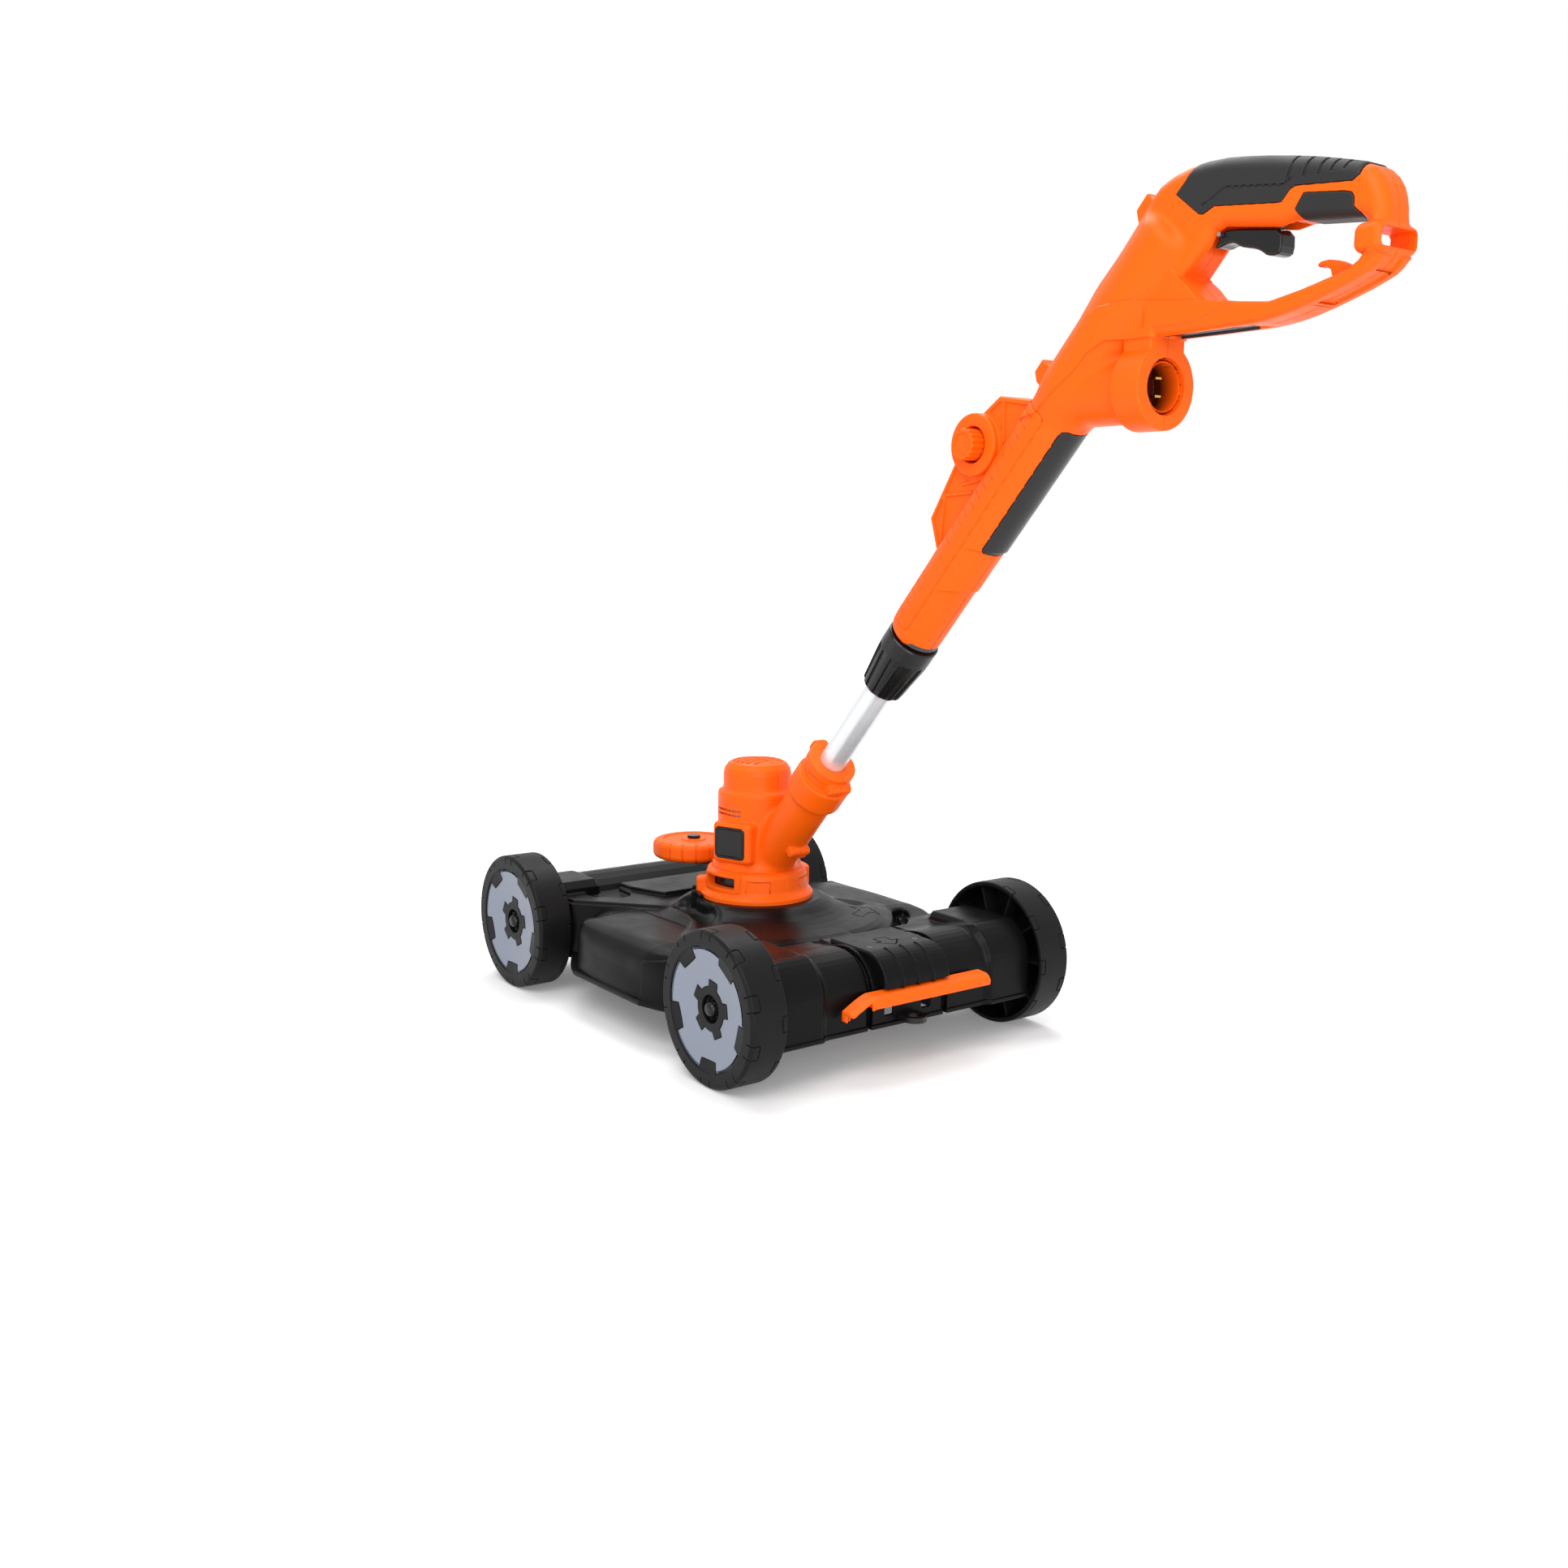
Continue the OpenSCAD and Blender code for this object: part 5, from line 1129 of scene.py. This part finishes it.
# CAD nodes that stay, with a material and softened edges
SOFT_EDGE, SOFT_ANGLE = 0.5, 40
LOOKS = {
    "gloss": ["cover_screws", "rear_eye", "guide_screw", "axle_caps"],
    "steel": ["front_axle", "rear_axle", "pedal_pin", "pedal_spring", "motor_can", "upper_bearing",
              "lower_bearing", "handle_screws", "trigger_pin", "trigger_spring", "button_spring"],
    "inner": ["latch_bar", "cooling_fan", "collet", "switch_block", "guide_bracket", "spool_housing",
              "spool_cap", "line_spool"],
    "line": ["cutting_line", "line_winding"],
    "copper": ["rotor"],
    "tube": ["shaft_tube"],
    "brass": ["inlet_blades"],
}
for look, names in LOOKS.items():
    for name in names:
        node = NODES[name]
        node.data.materials.clear()
        node.data.materials.append(MAT[look])
        soften = node.modifiers.new("soften", "BEVEL")
        soften.width = SOFT_EDGE * MM
        soften.segments = 2
        soften.limit_method = "ANGLE"
        soften.angle_limit = math.radians(SOFT_ANGLE)
        soften.harden_normals = False

# Stage and light
FLOOR_REACH = 30.0
FLOOR_COLOUR = (0.86, 0.86, 0.86, 1.0)
GLOW_NEAR, GLOW_FAR, GLOW_LEAST = 0.75, 2.2, 0.14
SKY_LIGHT = 0.6


def ray_kinds(n):
    """One where the camera, a reflection or a clear piece looks straight at it."""
    light = n.add("LightPath")
    kinds = [light.outputs[kind] for kind in ("Is Camera Ray", "Is Glossy Ray", "Is Transmission Ray")]
    return reduce(lambda a, b: n.calc("MAXIMUM", a, b), kinds)


def floor_material():
    """A pale floor that keeps the shadow near the object and fades to white further off."""
    n = Nodes(bpy.data.materials.new("pale_floor"), "Material")
    shader = n.add("BsdfDiffuse", Color=FLOOR_COLOUR)
    glow = n.add("Emission", Color=WHITE)
    far = n.add("VectorMath", operation="LENGTH")
    n.link(n.add("NewGeometry").outputs["Position"], far.inputs[0])
    fade = n.spread(far.outputs["Value"], GLOW_LEAST, 1.0, GLOW_NEAR, GLOW_FAR)
    n.link(n.calc("MULTIPLY", ray_kinds(n), fade), glow.inputs["Strength"])
    total = n.add("AddShader")
    n.link(shader.outputs[0], total.inputs[0])
    n.link(glow.outputs[0], total.inputs[1])
    n.link(total.outputs[0], n.out.inputs["Surface"])
    return n.owner


def studio_world():
    """An even light that shows as white."""
    n = Nodes(bpy.data.worlds.new("studio"), "World")
    sky = n.add("Background", Color=WHITE)
    n.link(n.spread(ray_kinds(n), SKY_LIGHT, 1.0, 0.0, 1.0), sky.inputs["Strength"])
    n.link(sky.outputs[0], n.out.inputs["Surface"])
    return n.owner


def lamp(name, place, target, size, power):
    data = bpy.data.lights.new(name, "AREA")
    data.size = size
    data.energy = power
    obj = bpy.data.objects.new(name, data)
    obj.location = place
    aim = Vector(target) - Vector(place)
    obj.rotation_euler = aim.to_track_quat("-Z", "Y").to_euler()
    SCENE.collection.objects.link(obj)


floor_corners = [(u * FLOOR_REACH, v * FLOOR_REACH, 0) for u, v in ((-1, -1), (1, -1), (1, 1), (-1, 1))]
floor_mesh = bpy.data.meshes.new("floor")
floor_mesh.from_pydata(floor_corners, [], [(0, 1, 2, 3)])
floor_mesh.materials.append(floor_material())
floor = bpy.data.objects.new("floor", floor_mesh)
SCENE.collection.objects.link(floor)
SCENE.world = studio_world()
lamp("key", (1.6, 1.2, 2.2), (0.0, 0.1, 0.3), 1.6, 34.0)
lamp("top", (-0.4, -0.6, 2.4), (0.0, 0.1, 0.2), 1.8, 40.0)
lamp("fill", (1.1, 2.3, 0.7), (0.0, 0.1, 0.3), 1.4, 22.0)

# Camera: fitted to the photograph, in its pixels, millimetres and degrees
PHOTO = 1932.0
FOCAL = 1893.73
CENTRE = (910.86, 966.39)
CAMERA_AT = (903.834, 1243.469, 474.573)
CAMERA_TURN, CAMERA_RISE, CAMERA_ROLL = (math.radians(a) for a in (144.674, 9.2, 0.411))
SENSOR = 36.0


def camera_place():
    level = math.cos(CAMERA_RISE)
    back = Vector((math.sin(CAMERA_TURN) * level, -math.cos(CAMERA_TURN) * level, math.sin(CAMERA_RISE)))
    right = (-back).cross(Vector((0, 0, 1))).normalized()
    up = right.cross(-back)
    c, s = math.cos(CAMERA_ROLL), math.sin(CAMERA_ROLL)
    right, up = right * c + up * s, up * c - right * s
    rows = [(right[i], up[i], back[i], CAMERA_AT[i] * MM) for i in range(3)]
    return Matrix((*rows, (0, 0, 0, 1)))


camera_data = bpy.data.cameras.new("camera")
camera_data.sensor_width = SENSOR
camera_data.sensor_fit = "HORIZONTAL"
camera_data.lens = FOCAL / PHOTO * SENSOR
camera_data.shift_x = (0.5 * PHOTO - CENTRE[0]) / PHOTO
camera_data.shift_y = (CENTRE[1] - 0.5 * PHOTO) / PHOTO
camera_data.clip_end = 100.0
camera = bpy.data.objects.new("camera", camera_data)
camera.matrix_world = camera_place()
SCENE.collection.objects.link(camera)
SCENE.camera = camera
SCENE.view_settings.view_transform = "Standard"

bpy.context.view_layer.update()
